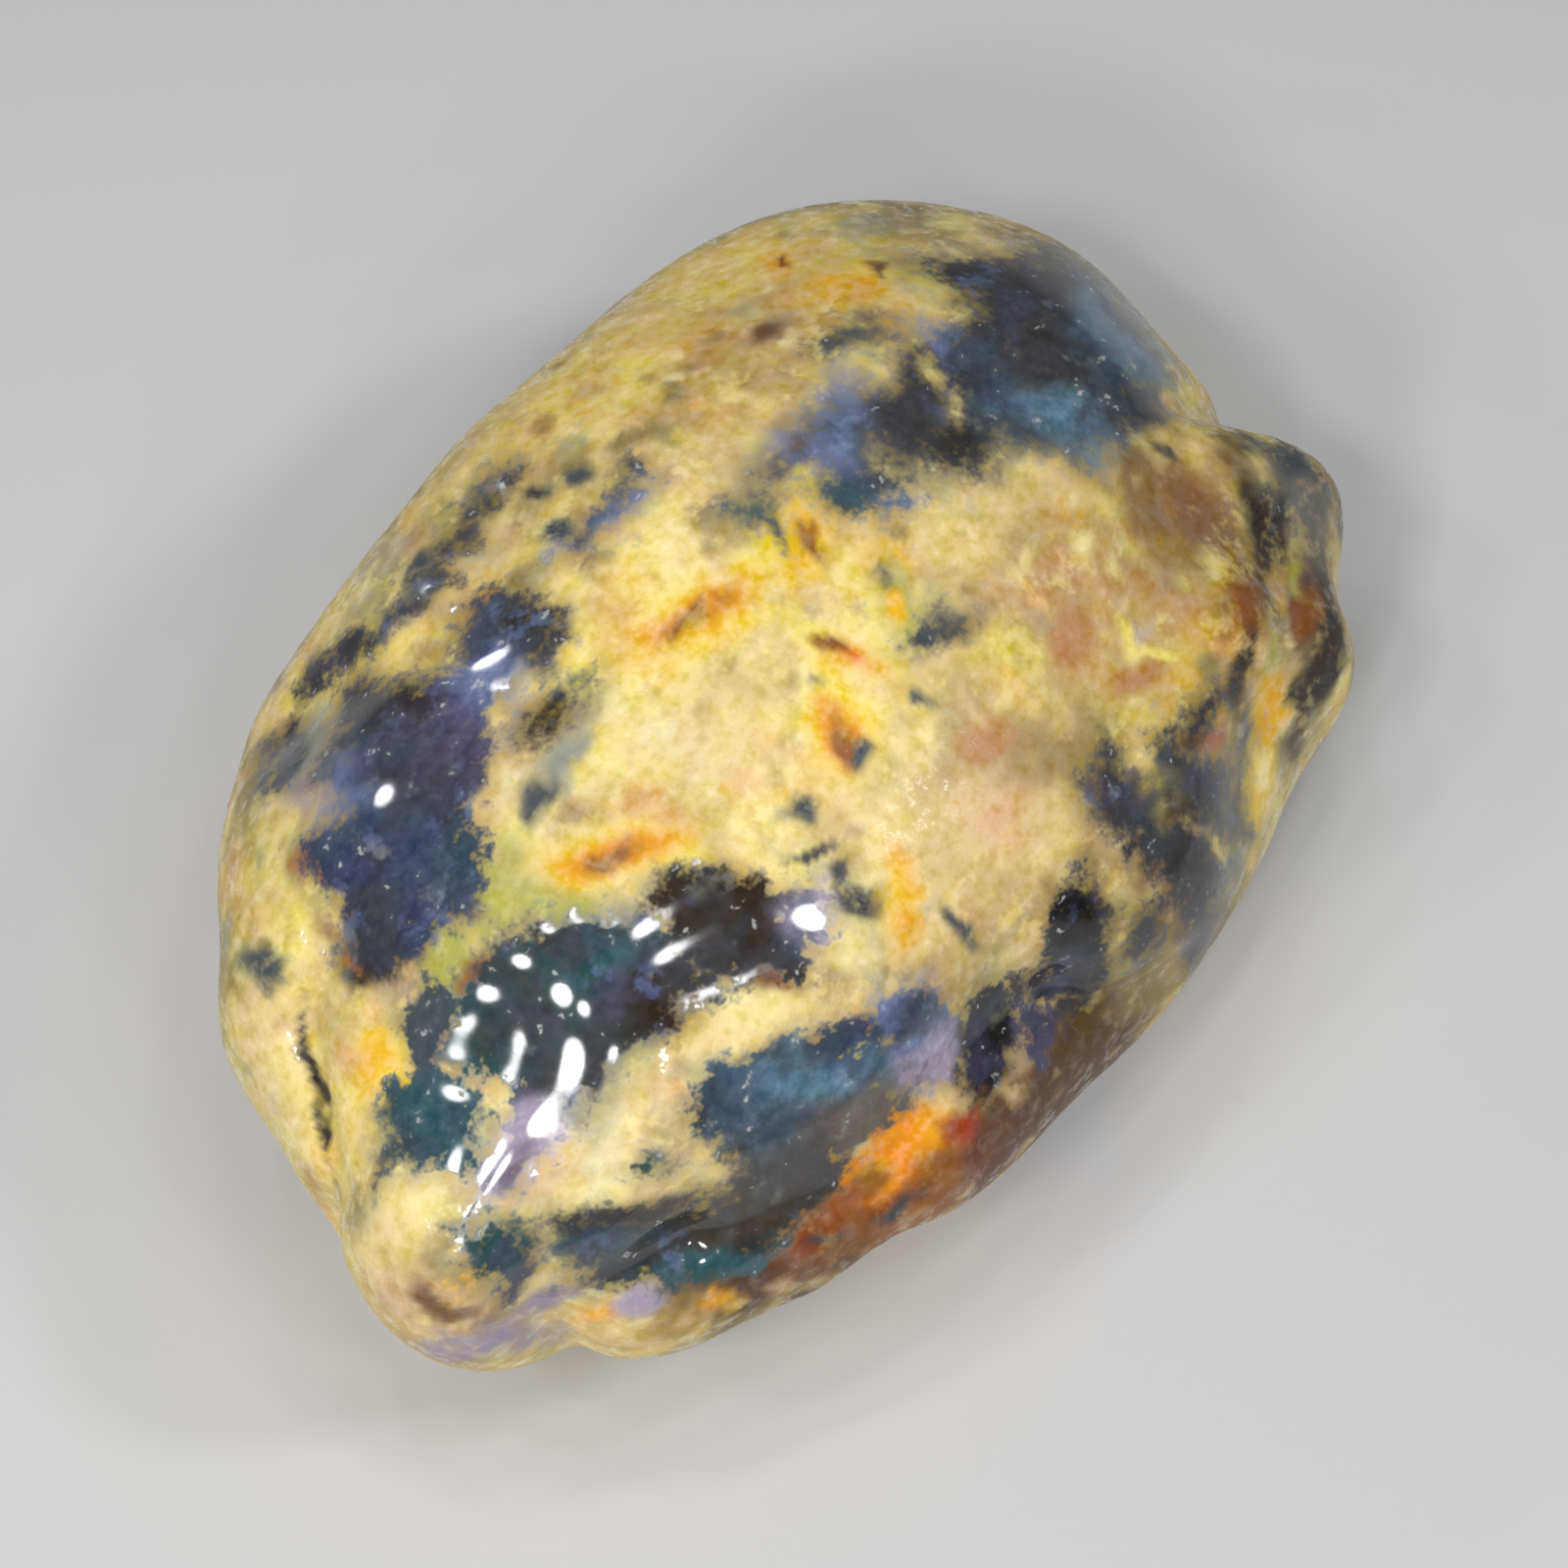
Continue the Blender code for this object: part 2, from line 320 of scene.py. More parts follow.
# Outlines of the larger windows, as corners in the photo's pixels
WINDOW_OUTLINES = {
    "upper_rim": (
        (960, 267), (1000, 263), (1050, 257), (1083, 260), (1117, 267), (1150, 300), (1177, 337),
        (1183, 363), (1163, 377), (1160, 397), (1180, 410), (1187, 427), (1150, 433), (1133, 450),
        (1127, 477), (1097, 473), (1067, 450), (1053, 453), (1027, 443), (1013, 470), (987, 483),
        (960, 480), (947, 483), (933, 470), (907, 460), (893, 457), (897, 477), (917, 487), (913, 510),
        (907, 530), (887, 520), (847, 520), (837, 490), (840, 460), (833, 450), (810, 470), (783, 483),
        (773, 477), (800, 453), (817, 437), (833, 420), (847, 393), (887, 387), (897, 383), (913, 363),
        (933, 353), (950, 347), (957, 337), (987, 333), (993, 317), (977, 300), (967, 283),
    ),
    "teal_arc": (
        (737, 520), (750, 503), (773, 503), (793, 517), (793, 537), (780, 547), (767, 537), (773, 520),
        (753, 517), (740, 527),
    ),
    "slate_streak": (
        (823, 347), (850, 340), (887, 340), (900, 330), (913, 337), (900, 350), (867, 363), (847, 357),
    ),
    "middle_hollow": (
        (940, 630), (963, 620), (983, 633), (967, 650), (947, 650),
    ),
    "left_furrow": (
        (500, 478), (520, 474), (528, 484), (506, 506), (492, 520), (484, 538), (490, 552), (478, 564),
        (464, 578), (470, 590), (452, 602), (430, 622), (410, 640), (392, 656), (372, 672), (352, 684),
        (334, 700), (300, 706), (284, 706), (306, 692), (330, 676), (350, 658), (372, 640), (396, 618),
        (418, 602), (438, 590), (444, 578), (448, 556), (458, 538), (464, 514), (480, 504), (494, 494),
    ),
    "blue_crescent": (
        (644, 480), (652, 488), (640, 508), (632, 524), (622, 540), (610, 552), (596, 562), (574, 560),
        (566, 552), (590, 546), (606, 536), (616, 520), (626, 502),
    ),
    "left_field": (
        (500, 603), (533, 612), (552, 618), (567, 626), (570, 647), (560, 670), (547, 687), (520, 703),
        (500, 713), (493, 733), (490, 760), (493, 787), (487, 813), (483, 837), (480, 860), (487, 883),
        (477, 907), (483, 927), (460, 947), (433, 953), (413, 973), (387, 970), (373, 987), (345, 975),
        (347, 943), (343, 912), (312, 890), (310, 868), (340, 843), (337, 813), (343, 793), (340, 767),
        (347, 747), (347, 720), (353, 703), (373, 687), (400, 693), (433, 693), (453, 687), (460, 667),
        (463, 640), (487, 617),
    ),
    "left_chip": (
        (268, 760), (285, 757), (300, 785), (303, 810), (285, 818), (270, 800),
    ),
    "small_keyhole": (
        (577, 700), (597, 688), (598, 698), (582, 712), (580, 727), (570, 750), (547, 757), (533, 743),
        (545, 727),
    ),
    "pool": (
        (530, 943), (583, 927), (663, 930), (683, 943), (703, 967), (697, 1000), (683, 1010), (690, 1047),
        (663, 1067), (637, 1087), (623, 1113), (597, 1133), (578, 1160), (556, 1186),
        (532, 1212), (500, 1222), (492, 1200), (512, 1170), (522, 1140), (517, 1113), (497, 1087),
        (470, 1087), (450, 1073), (457, 1047), (483, 1013), (510, 977),
    ),
    "brown_pit": (
        (700, 920), (733, 907), (770, 910), (787, 930), (800, 908), (832, 900), (852, 922), (850, 952),
        (817, 967), (827, 987), (803, 997), (770, 1003), (743, 997), (717, 1000), (697, 987),
        (683, 967), (683, 943),
    ),
    "teal_blob": (
        (407, 1050), (427, 1083), (407, 1103), (397, 1113), (403, 1133), (407, 1160), (417, 1183),
        (437, 1173), (460, 1163), (483, 1157), (490, 1140), (483, 1123), (480, 1103), (460, 1090),
        (453, 1080), (460, 1067), (455, 1040), (450, 1020), (433, 1010), (420, 1027),
    ),
    "lower_left_hook": (
        (463, 1253), (490, 1247), (517, 1253), (543, 1250), (560, 1270), (543, 1283), (527, 1303),
        (523, 1323), (510, 1330), (503, 1317), (513, 1297), (490, 1283), (470, 1273),
    ),
    "valley": (
        (560, 1243), (583, 1228), (657, 1237), (730, 1230), (750, 1197), (740, 1153), (763, 1133),
        (777, 1117), (770, 1090), (800, 1073), (833, 1077), (867, 1067), (907, 1063), (917, 1033),
        (950, 1027), (985, 1045), (988, 1075), (965, 1092), (930, 1108), (895, 1122), (875, 1140),
        (862, 1165), (850, 1190), (837, 1217), (817, 1250), (800, 1270), (770, 1283), (743, 1293),
        (717, 1307), (690, 1317), (650, 1320), (637, 1310), (610, 1313), (590, 1310), (597, 1287),
        (570, 1270),
    ),
    "deep_pit": (
        (1007, 997), (1037, 1000), (1043, 1023), (1037, 1057), (1027, 1090), (1010, 1113), (997, 1120),
        (983, 1103), (983, 1077), (990, 1050), (983, 1030), (993, 1017),
    ),
    "oval_pit": (
        (1083, 910), (1100, 900), (1117, 907), (1133, 933), (1137, 960), (1130, 993), (1130, 1013),
        (1110, 1027), (1090, 1030), (1057, 1020), (1047, 1010), (1063, 997), (1083, 983), (1080, 950),
        (1073, 940),
    ),
    "right_dark": (
        (1102, 794), (1122, 780), (1134, 760), (1150, 778), (1174, 792), (1178, 776), (1178, 750),
        (1198, 740), (1210, 724), (1230, 706), (1246, 698), (1258, 704), (1254, 716), (1236, 728),
        (1222, 740), (1208, 750), (1206, 760), (1216, 768), (1230, 772), (1250, 780), (1254, 766),
        (1266, 748), (1270, 732), (1276, 740), (1272, 756), (1260, 776), (1254, 800), (1262, 830),
        (1274, 850), (1252, 858), (1230, 846), (1214, 838), (1222, 860), (1242, 876), (1250, 886),
        (1248, 900), (1245, 925), (1250, 945), (1240, 970), (1212, 990), (1203, 967), (1203, 947),
        (1193, 930), (1183, 910), (1177, 893), (1168, 880), (1156, 858), (1136, 856), (1128, 836),
        (1124, 810), (1110, 812),
    ),
}

# Crust that lies over a window
ISLANDS = (
    Mark("cream", (420, 664), (1.0, 0.5), 34),
    Mark("lavender", (310, 822), (0.8, 0.7), 60),
    Mark("cream", (321, 737), (0.6, 0.3), 50),
    Mark("cream", (955, 375), (0.5, 0.3), -40),
    Mark("cream", (1199, 396), (0.7, 0.4), 60),
    Mark("cream", (972, 408), (0.5, 0.3), 60),
    Mark("cream", (700, 1090), (1.6, 0.7), 34),
    Mark("cream", (560, 1215), (1.0, 0.8), 20),
    Mark("lavender", (1160, 640), (0.4, 0.2), 20),
    Mark("cream", (1152, 910), (0.8, 0.4), 70),
    Mark("lavender", (655, 1338), (0.9, 0.5), 30),
    Mark("pink", (400, 1000), (0.8, 0.4), 10),
)

# Stains with ragged soft edges, laid on the crust one over another
STAINS = (
    Mark("fawn", (1070, 780), (2.4, 1.9), 30),
    Mark("hazel", (1208, 508), (2.2, 2.0), 30),
    Mark("smoke", (1342, 600), (0.9, 2.2), -6),
    Mark("slate", (818, 812), (0.7, 0.4), 18),
    Mark("slate", (944, 720), (0.4, 0.3), 80),
    Mark("steel", (833, 691), (0.36, 0.3)),
    Mark("slate", (986, 940), (1.1, 0.4), -55),
    Mark("charcoal", (836, 862), (0.95, 0.2), 26),
    Mark("charcoal", (863, 886), (0.5, 0.3), 70),
    Mark("charcoal", (881, 914), (0.9, 0.5), -18),
    Mark("charcoal", (1197, 460), (0.4, 0.3), -40),
    Mark("slate", (258, 990), (1.0, 0.7), 80),
    Mark("olive", (576, 474), (1.0, 0.6), 5),
    Mark("slate", (584, 478), (0.6, 0.3), 5),
    Mark("olive", (640, 446), (1.6, 0.4), 12),
    Mark("slate", (568, 532), (0.7, 0.4), 5),
    Mark("slate", (426, 584), (0.8, 0.7), 60),
    Mark("olive", (528, 594), (1.0, 0.5), 30),
    Mark("charcoal", (540, 496), (0.6, 0.3)),
    Mark("mist", (578, 764), (1.1, 0.6), 60),
    Mark("slate", (546, 812), (0.7, 0.4), 40),
    Mark("mist", (312, 760), (1.4, 1.2), 60),
    Mark("slate", (296, 772), (0.6, 0.7), 60),
    Mark("moss", (509, 900), (1.4, 1.1), 60),
    Mark("moss", (579, 912), (0.8, 0.6)),
    Mark("gold", (640, 868), (2.6, 0.8), 8),
    Mark("amber", (610, 872), (1.2, 0.4), 20),
    Mark("orange", (640, 866), (2.0, 0.45), 10),
    Mark("copper", (626, 872), (0.9, 0.24), 24),
    Mark("moss", (446, 978), (1.1, 0.8), 60),
    Mark("rust", (482, 987), (0.7, 0.5)),
    Mark("gold", (712, 622), (2.8, 1.2), 22),
    Mark("orange", (700, 628), (2.2, 0.6), 22),
    Mark("amber", (676, 644), (1.0, 0.5), 22),
    Mark("copper", (706, 622), (1.6, 0.34), 24),
    Mark("rust", (684, 636), (0.5, 0.34), 60),
    Mark("gold", (868, 664), (1.8, 0.9), -18),
    Mark("orange", (870, 668), (1.1, 0.4), -24),
    Mark("rust", (856, 656), (0.8, 0.3), -20),
    Mark("gold", (862, 745), (1.3, 1.5), -10),
    Mark("amber", (858, 748), (0.8, 0.9), -50),
    Mark("orange", (862, 752), (1.1, 0.6), -62),
    Mark("copper", (868, 766), (0.8, 0.4), -60),
    Mark("slate", (886, 770), (0.6, 0.34), -80),
    Mark("gold", (824, 545), (1.8, 1.2), 80),
    Mark("amber", (826, 552), (1.0, 0.6), 80),
    Mark("rust", (832, 552), (0.7, 0.3), -62),
    Mark("gold", (910, 560), (1.4, 1.0), 80),
    Mark("moss", (912, 590), (1.6, 0.7), -70),
    Mark("green", (901, 584), (0.36, 0.26)),
    Mark("olive", (924, 540), (0.5, 0.4)),
    Mark("amber", (916, 610), (0.7, 0.3), -70),
    Mark("amber", (798, 258), (0.8, 0.6)),
    Mark("rust", (800, 260), (0.3, 0.24)),
    Mark("brown", (779, 332), (0.7, 0.5)),
    Mark("amber", (866, 288), (1.4, 0.7), 10),
    Mark("brown", (892, 270), (0.4, 0.3)),
    Mark("olive", (686, 402), (0.6, 0.36), 30),
    Mark("rust", (790, 1004), (1.5, 0.4), -24),
    Mark("amber", (928, 920), (2.0, 0.6), 92),
    Mark("amber", (926, 898), (1.0, 0.3), 88),
    Mark("peach", (1020, 830), (2.4, 1.8), -20),
    Mark("sienna", (1008, 753), (1.3, 0.9), -20),
    Mark("sienna", (1106, 655), (1.2, 1.3), 60),
    Mark("sienna", (1165, 690), (1.0, 0.6), 20),
    Mark("honey", (1166, 657), (1.0, 0.24), -10),
    Mark("honey", (1147, 643), (0.5, 0.24), -60),
    Mark("olive", (1246, 672), (0.9, 0.6), 70),
    Mark("brown", (1222, 756), (0.9, 0.5), 30),
    Mark("redbrown", (1244, 742), (1.0, 0.4), 60),
    Mark("umber", (382, 986), (1.4, 0.6), 20),
    Mark("orange", (356, 973), (0.4, 0.3)),
    Mark("redbrown", (312, 885), (0.6, 0.4)),
    Mark("rust", (612, 1046), (0.6, 0.5)),
    Mark("gold", (376, 1090), (1.3, 1.2), 60),
    Mark("amber", (376, 1080), (0.8, 0.7), 60),
    Mark("peach", (556, 1194), (1.2, 0.6), 30),
    Mark("olive", (1172, 1020), (1.8, 1.2), 50),
    Mark("bronze", (1112, 1090), (2.8, 2.0), 46),
    Mark("bronze", (1058, 1143), (2.4, 1.9), 42),
    Mark("maroon", (1004, 1184), (2.2, 1.7), 36),
    Mark("copper", (908, 1242), (3.2, 1.6), 28),
    Mark("rust", (848, 1275), (3.0, 1.2), 24),
    Mark("bronze", (777, 1316), (2.8, 1.2), 20),
    Mark("amber", (730, 1338), (0.9, 0.4), 20),
    Mark("fire", (922, 1162), (1.9, 1.0), 28),
    Mark("fire", (908, 1196), (1.7, 0.8), 26),
    Mark("orange", (885, 1186), (1.6, 0.4), 30),
    Mark("copper", (878, 1222), (1.6, 0.5), 30),
    Mark("red", (984, 1154), (0.8, 0.5), 60),
    Mark("charcoal", (928, 1236), (0.8, 0.36), 20),
    Mark("charcoal", (848, 1274), (0.7, 0.26), 12),
    Mark("charcoal", (1080, 1030), (0.6, 0.2), 40),
    Mark("red", (866, 1119), (0.4, 0.3)),
    Mark("amber", (614, 1350), (1.3, 0.5), 12),
    Mark("lavender", (658, 1332), (1.1, 0.6), 30),
    Mark("lavender", (560, 1332), (0.9, 0.5), 30),
    Mark("lavender", (500, 1376), (2.4, 0.7), 4),
    Mark("brown", (440, 1338), (1.4, 0.4), -20),
    Mark("umber", (306, 1085), (2.2, 0.24), -78),
    Mark("umber", (322, 1165), (1.6, 0.22), -74),
    Mark("umber", (1272, 668), (2.6, 0.4), 88),
    Mark("amber", (1302, 720), (1.8, 0.6), 84),
    Mark("gold", (1288, 804), (1.4, 0.8), 76),
    Mark("pale", (1294, 792), (0.8, 0.4), 76),
    Mark("moss", (1308, 668), (1.0, 0.4), 84),
    Mark("umber", (1330, 720), (2.2, 0.5), 86),
    Mark("umber", (1362, 650), (2.4, 0.8), 86),
    Mark("rust", (1334, 612), (1.2, 0.5), 80),
    Mark("moss", (1330, 584), (0.7, 0.4), 80),
    Mark("umber", (1310, 545), (1.8, 0.5), 76),
    Mark("olive", (1330, 530), (1.6, 0.34), 76),
    Mark("umber", (1292, 540), (0.8, 2.6)),
    Mark("silver", (1336, 505), (1.2, 2.4), 20),
    Mark("silver", (1360, 500), (2.0, 0.8), -55),
    Mark("slate", (1312, 460), (1.5, 0.8), -45),
    Mark("rust", (1266, 612), (1.4, 0.8), 60),
    Mark("mist", (1264, 886), (1.0, 0.6), 70),
)

# Broad soft changes of the crust's colour
ZONES = (
    Mark("ochre", (640, 400), (8.0, 3.0), 42),
    Mark("ochre", (850, 270), (6.0, 2.4), 6),
    Mark("honey", (636, 378), (2.4, 1.4), 40),
    Mark("honey", (775, 250), (2.2, 1.0), 30),
    Mark("sienna", (800, 330), (3.4, 1.4), 20),
    Mark("olive", (960, 222), (4.8, 1.1), -12),
    Mark("tan", (740, 430), (3.0, 2.0), 60),
    Mark("olive", (580, 476), (1.6, 0.9), 10),
    Mark("olive", (640, 444), (1.9, 0.6), 14),
    Mark("tan", (470, 610), (2.0, 1.2), 50),
    Mark("pale", (760, 640), (8.0, 5.0), 10),
    Mark("honey", (640, 640), (3.6, 2.2), 20),
    Mark("honey", (850, 570), (2.8, 2.0), 20),
    Mark("cream", (600, 780), (4.0, 2.6), 30),
    Mark("peach", (720, 810), (4.4, 2.0), 10),
    Mark("straw", (1020, 540), (3.6, 2.0)),
    Mark("sienna", (1150, 560), (3.2, 2.6), 30),
    # The sepia zone below is partly the crust's browner colour and partly painted shade for the dimmer far
    # right side
    Mark("sepia", (1225, 500), (2.6, 3.2), 20),
    Mark("tan", (1080, 600), (2.6, 2.0)),
    Mark("straw", (1000, 690), (2.6, 2.4)),
    Mark("fawn", (1060, 785), (3.8, 3.2)),
    Mark("ochre", (1170, 700), (3.2, 2.0)),
    Mark("sienna", (1250, 640), (2.6, 2.0), 60),
    Mark("tan", (1060, 885), (2.6, 1.8)),
    Mark("cream", (860, 1010), (4.2, 1.8)),
    # The ivory zone below is partly the crust's pale cream and partly painted light: paler than the crust so
    # that this down-facing patch, which the lamps leave in shade, looks lit
    Mark("ivory", (665, 1155), (3.2, 2.0)),
    Mark("ivory", (640, 780), (3.0, 1.8), 20),
    Mark("straw", (265, 900), (4.8, 1.4), 86),
    Mark("olive", (232, 930), (5.0, 0.7), 86),
    Mark("cream", (330, 1090), (3.2, 2.0), 70),
    Mark("tan", (300, 740), (1.6, 1.0), 50),
    Mark("cream", (430, 1240), (2.4, 1.8), 60),
    Mark("ochre", (450, 1306), (1.6, 1.0)),
    Mark("pink", (470, 1345), (2.8, 1.0), -16),
    Mark("tan", (1175, 920), (1.6, 2.6)),
    Mark("brown", (1262, 560), (1.0, 2.6)),
    # The pitch zone below, along the far right rim, is partly the crust's dark colour and partly painted
    # shade for the dimmer far right side
    Mark("pitch", (1345, 580), (2.4, 6.0)),
    Mark("bronze", (1125, 1075), (5.0, 2.4), 45),
    Mark("copper", (905, 1232), (5.0, 2.2), 28),
    Mark("bronze", (772, 1312), (4.4, 1.8), 20),
)

# Cloudy changes of colour, and those of the finer flecks between them: colour, size of the largest
# clouds, the noise where they start and where they are full, and how strong they are
CRUST_CLOUDS = (
    ("straw", 5.0, -0.3, 0.9, 0.5),
    ("gold", 3.4, 0.0, 0.9, 0.55),
    ("tan", 2.4, 0.1, 0.9, 0.6),
    ("mist", 3.2, 0.3, 1.0, 0.5),
    ("honey", 2.0, 0.0, 0.9, 0.7),
    ("olive", 1.7, 0.5, 1.2, 0.45),
    ("brown", 1.4, 0.5, 1.2, 0.5),
    ("pale", 1.0, 0.2, 1.0, 0.7),
)
CRUST_FLECKS = (
    ("tan", 1.8, -0.4, 0.4, 0.8),
    ("honey", 1.9, -0.2, 0.5, 0.9),
    ("mist", 2.2, 0.2, 0.8, 0.7),
    ("pale", 1.9, 0.0, 0.6, 0.8),
    ("amber", 2.6, 0.5, 1.0, 0.7),
)
WINDOW_CLOUDS = (
    ("charcoal", 2.4, -0.2, 0.7, 0.8),
    ("steel", 1.3, 0.2, 1.0, 0.6),
    ("purple", 1.6, 0.4, 1.1, 0.5),
    ("umber", 1.2, 0.3, 1.1, 0.6),
)
WINDOW_FLECKS = (
    ("slate", 1.6, -0.4, 0.4, 0.8),
    ("blue", 2.0, -0.1, 0.5, 0.9),
    ("charcoal", 1.8, 0.1, 0.7, 0.9),
    ("umber", 1.4, 0.4, 0.9, 0.6),
    ("mist", 1.2, 0.4, 1.0, 0.6),
)

# How many pixels off a mark's middle the surface point that takes it may show
PICK_REACH = 8.0

# A mark's half axis along its depth: how many times its longer one, and its least and most in millimetres
DEEP_SHARE = 4.0
DEEP_RANGE = (3.0, 9.0)

# How fast a mark's colour gives way with the distance from its middle, the distance where that ends, and
# what the ground's colour counts for
BLEND_FALL = 2.2
BLEND_END = 12.0
GROUND_WEIGHT = 1e-4

# Outlined windows near the rim, by how squarely a point faces the camera: the least that still counts,
# where the field starts to fall, and how fast it falls, in millimetres
RIM_LEAST = -0.35
RIM_START = 0.05
RIM_FALL = 12.0

# How the marks' edges are folded, and the stains' torn finer still: size of the largest folds, how far
# they push, and the seed
WARP_SIZE = 1.6
WARP_PUSH = 0.3
WARP_SEED = 20
TEAR_SIZE = 0.8
TEAR_PUSH = 0.16
TEAR_SEED = 900

# Size of the crust's grain, and the seeds of the grain and of each group of clouds
GRAIN_SIZE = 1.2
GRAIN_SEED = 60
CRUST_SEED = 100
WINDOW_SEED = 300
VEIL_SEED = 400
CRUST_FLECK_SEED = 500
WINDOW_FLECK_SEED = 700
SOFT_SEED = 950

# Between the seeds of clouds of one group, and how many layers each cloud of colour has
SEED_STEP = 10
CLOUD_LAYERS = 5

# Where a zone and a stain start to fade and where they end, in shares of their size, and how far the grain
# shifts that
ZONE_EDGE = (0.2, 1.6)
STAIN_EDGE = (0.3, 1.3)
EDGE_GRAIN = 0.35

# Where windows and islands of crust start and are full, in millimetres inside their edges
WINDOW_EDGE = (-0.1, 0.1)
ISLAND_EDGE = (-0.3, 0.3)

# Where the crust's grain ends, in millimetres inside a window, and where it starts, in millimetres above
# the floor
GRAIN_END = (-0.4, 0.5)
GRAIN_START = (0.0, 0.8)

# The veil of dark resin that shows through thin crust round a window: how strong it is, the size of its
# noise and how far that pushes it, and where it starts and is full, in millimetres inside the window's edge
VEIL_SHARE = 0.5
VEIL_SIZE = 1.4
VEIL_NOISE = 0.6
VEIL_RANGE = (-1.1, 0.2)

# The field of a point that is far from every window, in millimetres
FAR_OUTSIDE = -4.0

# How soft the windows' edges are in millimetres: at the least, more in patches by their noise, and more
# towards the rim of the side that the photo shows, by the distance from its sharpest pixel
SOFT_LEAST = 0.25
SOFT_PATCHES = 0.35
SOFT_SIZE = 2.6
SOFT_RANGE = (-0.4, 0.7)
SOFT_RIM = 0.3
SHARP_PIXEL = (720.0, 960.0)
SHARP_REACH = (7.0, 19.0)

# How far inside a window's edge the clear material starts, and how much noise breaks the edge up
CLEAR_DEPTH = 0.7
RAGGEDNESS = 2.0

# The shader's two noises, as size in millimetres and detail, and what their values turn into
FINE_NOISE = (0.5, 2.0)
COARSE_NOISE = (1.1, 3.0)
NOISE_ROUGHNESS = 0.7
FLECK_RANGE = (0.5, 0.66)
FLECK_SHARE = 0.6
# Pale specks painted in the windows as glints, a painted highlight: where the fine noise starts them and is
# full, and how strong they are
PAINTED_GLINT_RANGE = (0.66, 0.74)
PAINTED_GLINT_SHARE = 0.8
DENSE_RANGE = (0.52, 0.62)
CONTRASTS = {"crust_tint": 0.6, "window_tint": 1.2}

# How far the grain warms a colour, and how far warmth and light then turn its hue and its saturation
WARMTH_SWING = 0.25
HUE_SWING = -0.08
SATURATION_SWING = -0.8

# The resin: how much it bends light and its colour in depth, and the colour of the pale specks painted in the
# windows as glints, a painted highlight, all as linear light
RESIN_IOR = 1.54
RESIN_DEPTH_COLOUR = (0.8, 0.52, 0.12, 1.0)
PAINTED_GLINT_COLOUR = (0.42, 0.42, 0.4, 1.0)

# Reach in millimetres of the patch that mirrors a small light, so that its grain doesn't count
MIRROR_REACH = 0.7

# Where small lights are mirrored: the pixel, and how wide the light is beside the usual one
HIGHLIGHTS = (
    ((532, 981), 1.1),
    ((560, 945), 0.9),
    ((591, 932), 1.0),
    ((628, 934), 0.9),
    ((662, 944), 1.0),
    ((684, 972), 0.8),
    ((716, 1018), 0.6),
    ((672, 1078), 0.8),
    ((627, 1080), 0.9),
    ((573, 1100), 0.7),
    ((522, 1085), 0.6),
    ((470, 1062), 0.5),
    ((497, 1015), 1.0),
    ((573, 1015), 1.6),
    ((396, 813), 0.8),
    ((713, 874), 0.3),
    ((826, 935), 1.8),
    ((552, 1150), 1.7),
    ((505, 1200), 1.0),
)

# Marks on the sides that the photo doesn't show, drawn from one seed: how squarely those may face the
# camera at the most, the range of the shorter half axis as a share of the longer one, and for each kind
# how many, the range of the longer half axis, and the colours
HIDDEN_SEED = 5
HIDDEN_FACING = 0.08
HIDDEN_SHAPE = (0.3, 0.9)
HIDDEN_WINDOWS = (
    46, (0.6, 3.0), ("charcoal", "navy", "steel", "teal", "slate", "green", "purple", "umber"),
)
HIDDEN_STAINS = (
    60, (0.4, 2.0), ("gold", "orange", "rust", "tan", "redbrown", "moss", "terracotta", "pink"),
)
HIDDEN_ZONES = (26, (2.0, 5.0), ("pale", "straw", "tan", "cream", "gold", "olive"))

# The stage: the floor's half side, its blue beside its other colours and its roughness, how far round and
# how high the key light stands, its distance and size, and the colour of the sky
FLOOR_REACH = 1500.0
FLOOR_BLUE = 1.01
FLOOR_ROUGHNESS = 0.9
KEY_TURN = 165.0
KEY_CLIMB = 50.0
KEY_DISTANCE = 500.0
KEY_SIZE = 300.0
SKY_COLOUR = (0.9, 0.95, 1.0, 1.0)


def linear(colour):
    """An 8-bit sRGB colour as linear light."""
    share = np.asarray(colour, float) / 255
    return np.where(share <= 0.04045, share / 12.92, ((share + 0.055) / 1.055) ** 2.4)


def colour_property(name, title):
    """A colour setting of the panel, with its default from the list above."""
    return FloatVectorProperty(
        name=title,
        description=f"Colour of {title.lower()} amber",
        subtype="COLOR",
        size=3,
        min=0.0,
        max=1.0,
        default=tuple(float(v) for v in linear(COLOURS[name])),
    )


class AmberColours(bpy.types.PropertyGroup):
    """The colours of the crust, the stains and the windows."""

    __annotations__ = {name: colour_property(name, name.capitalize()) for name in COLOURS}


class AmberSurface(bpy.types.PropertyGroup):
    """How rough, glossy and clear the surface is."""

    grain_height: FloatProperty(
        name="Grain height",
        description="Height of the crust's uneven grain",
        default=0.012 * MM,
        min=0.0,
        unit="LENGTH",
    )
    crust_roughness: FloatProperty(
        name="Crust roughness", description="Roughness of the crust", default=0.5, min=0.0, max=1.0
    )
    window_roughness: FloatProperty(
        name="Window roughness", description="Roughness of the clear windows", default=0.07, min=0.0, max=1.0
    )
    clearness: FloatProperty(
        name="Clearness", description="Share of light that goes into a window", default=0.6, min=0.0, max=1.0
    )
    scatter: FloatProperty(
        name="Window scatter",
        description="How much paler a clear window's own colour is than it looks",
        default=2.8,
        min=1.0,
    )
    absorption: FloatProperty(
        name="Absorption", description="Density of the clear resin, for each metre", default=700.0, min=0.0
    )


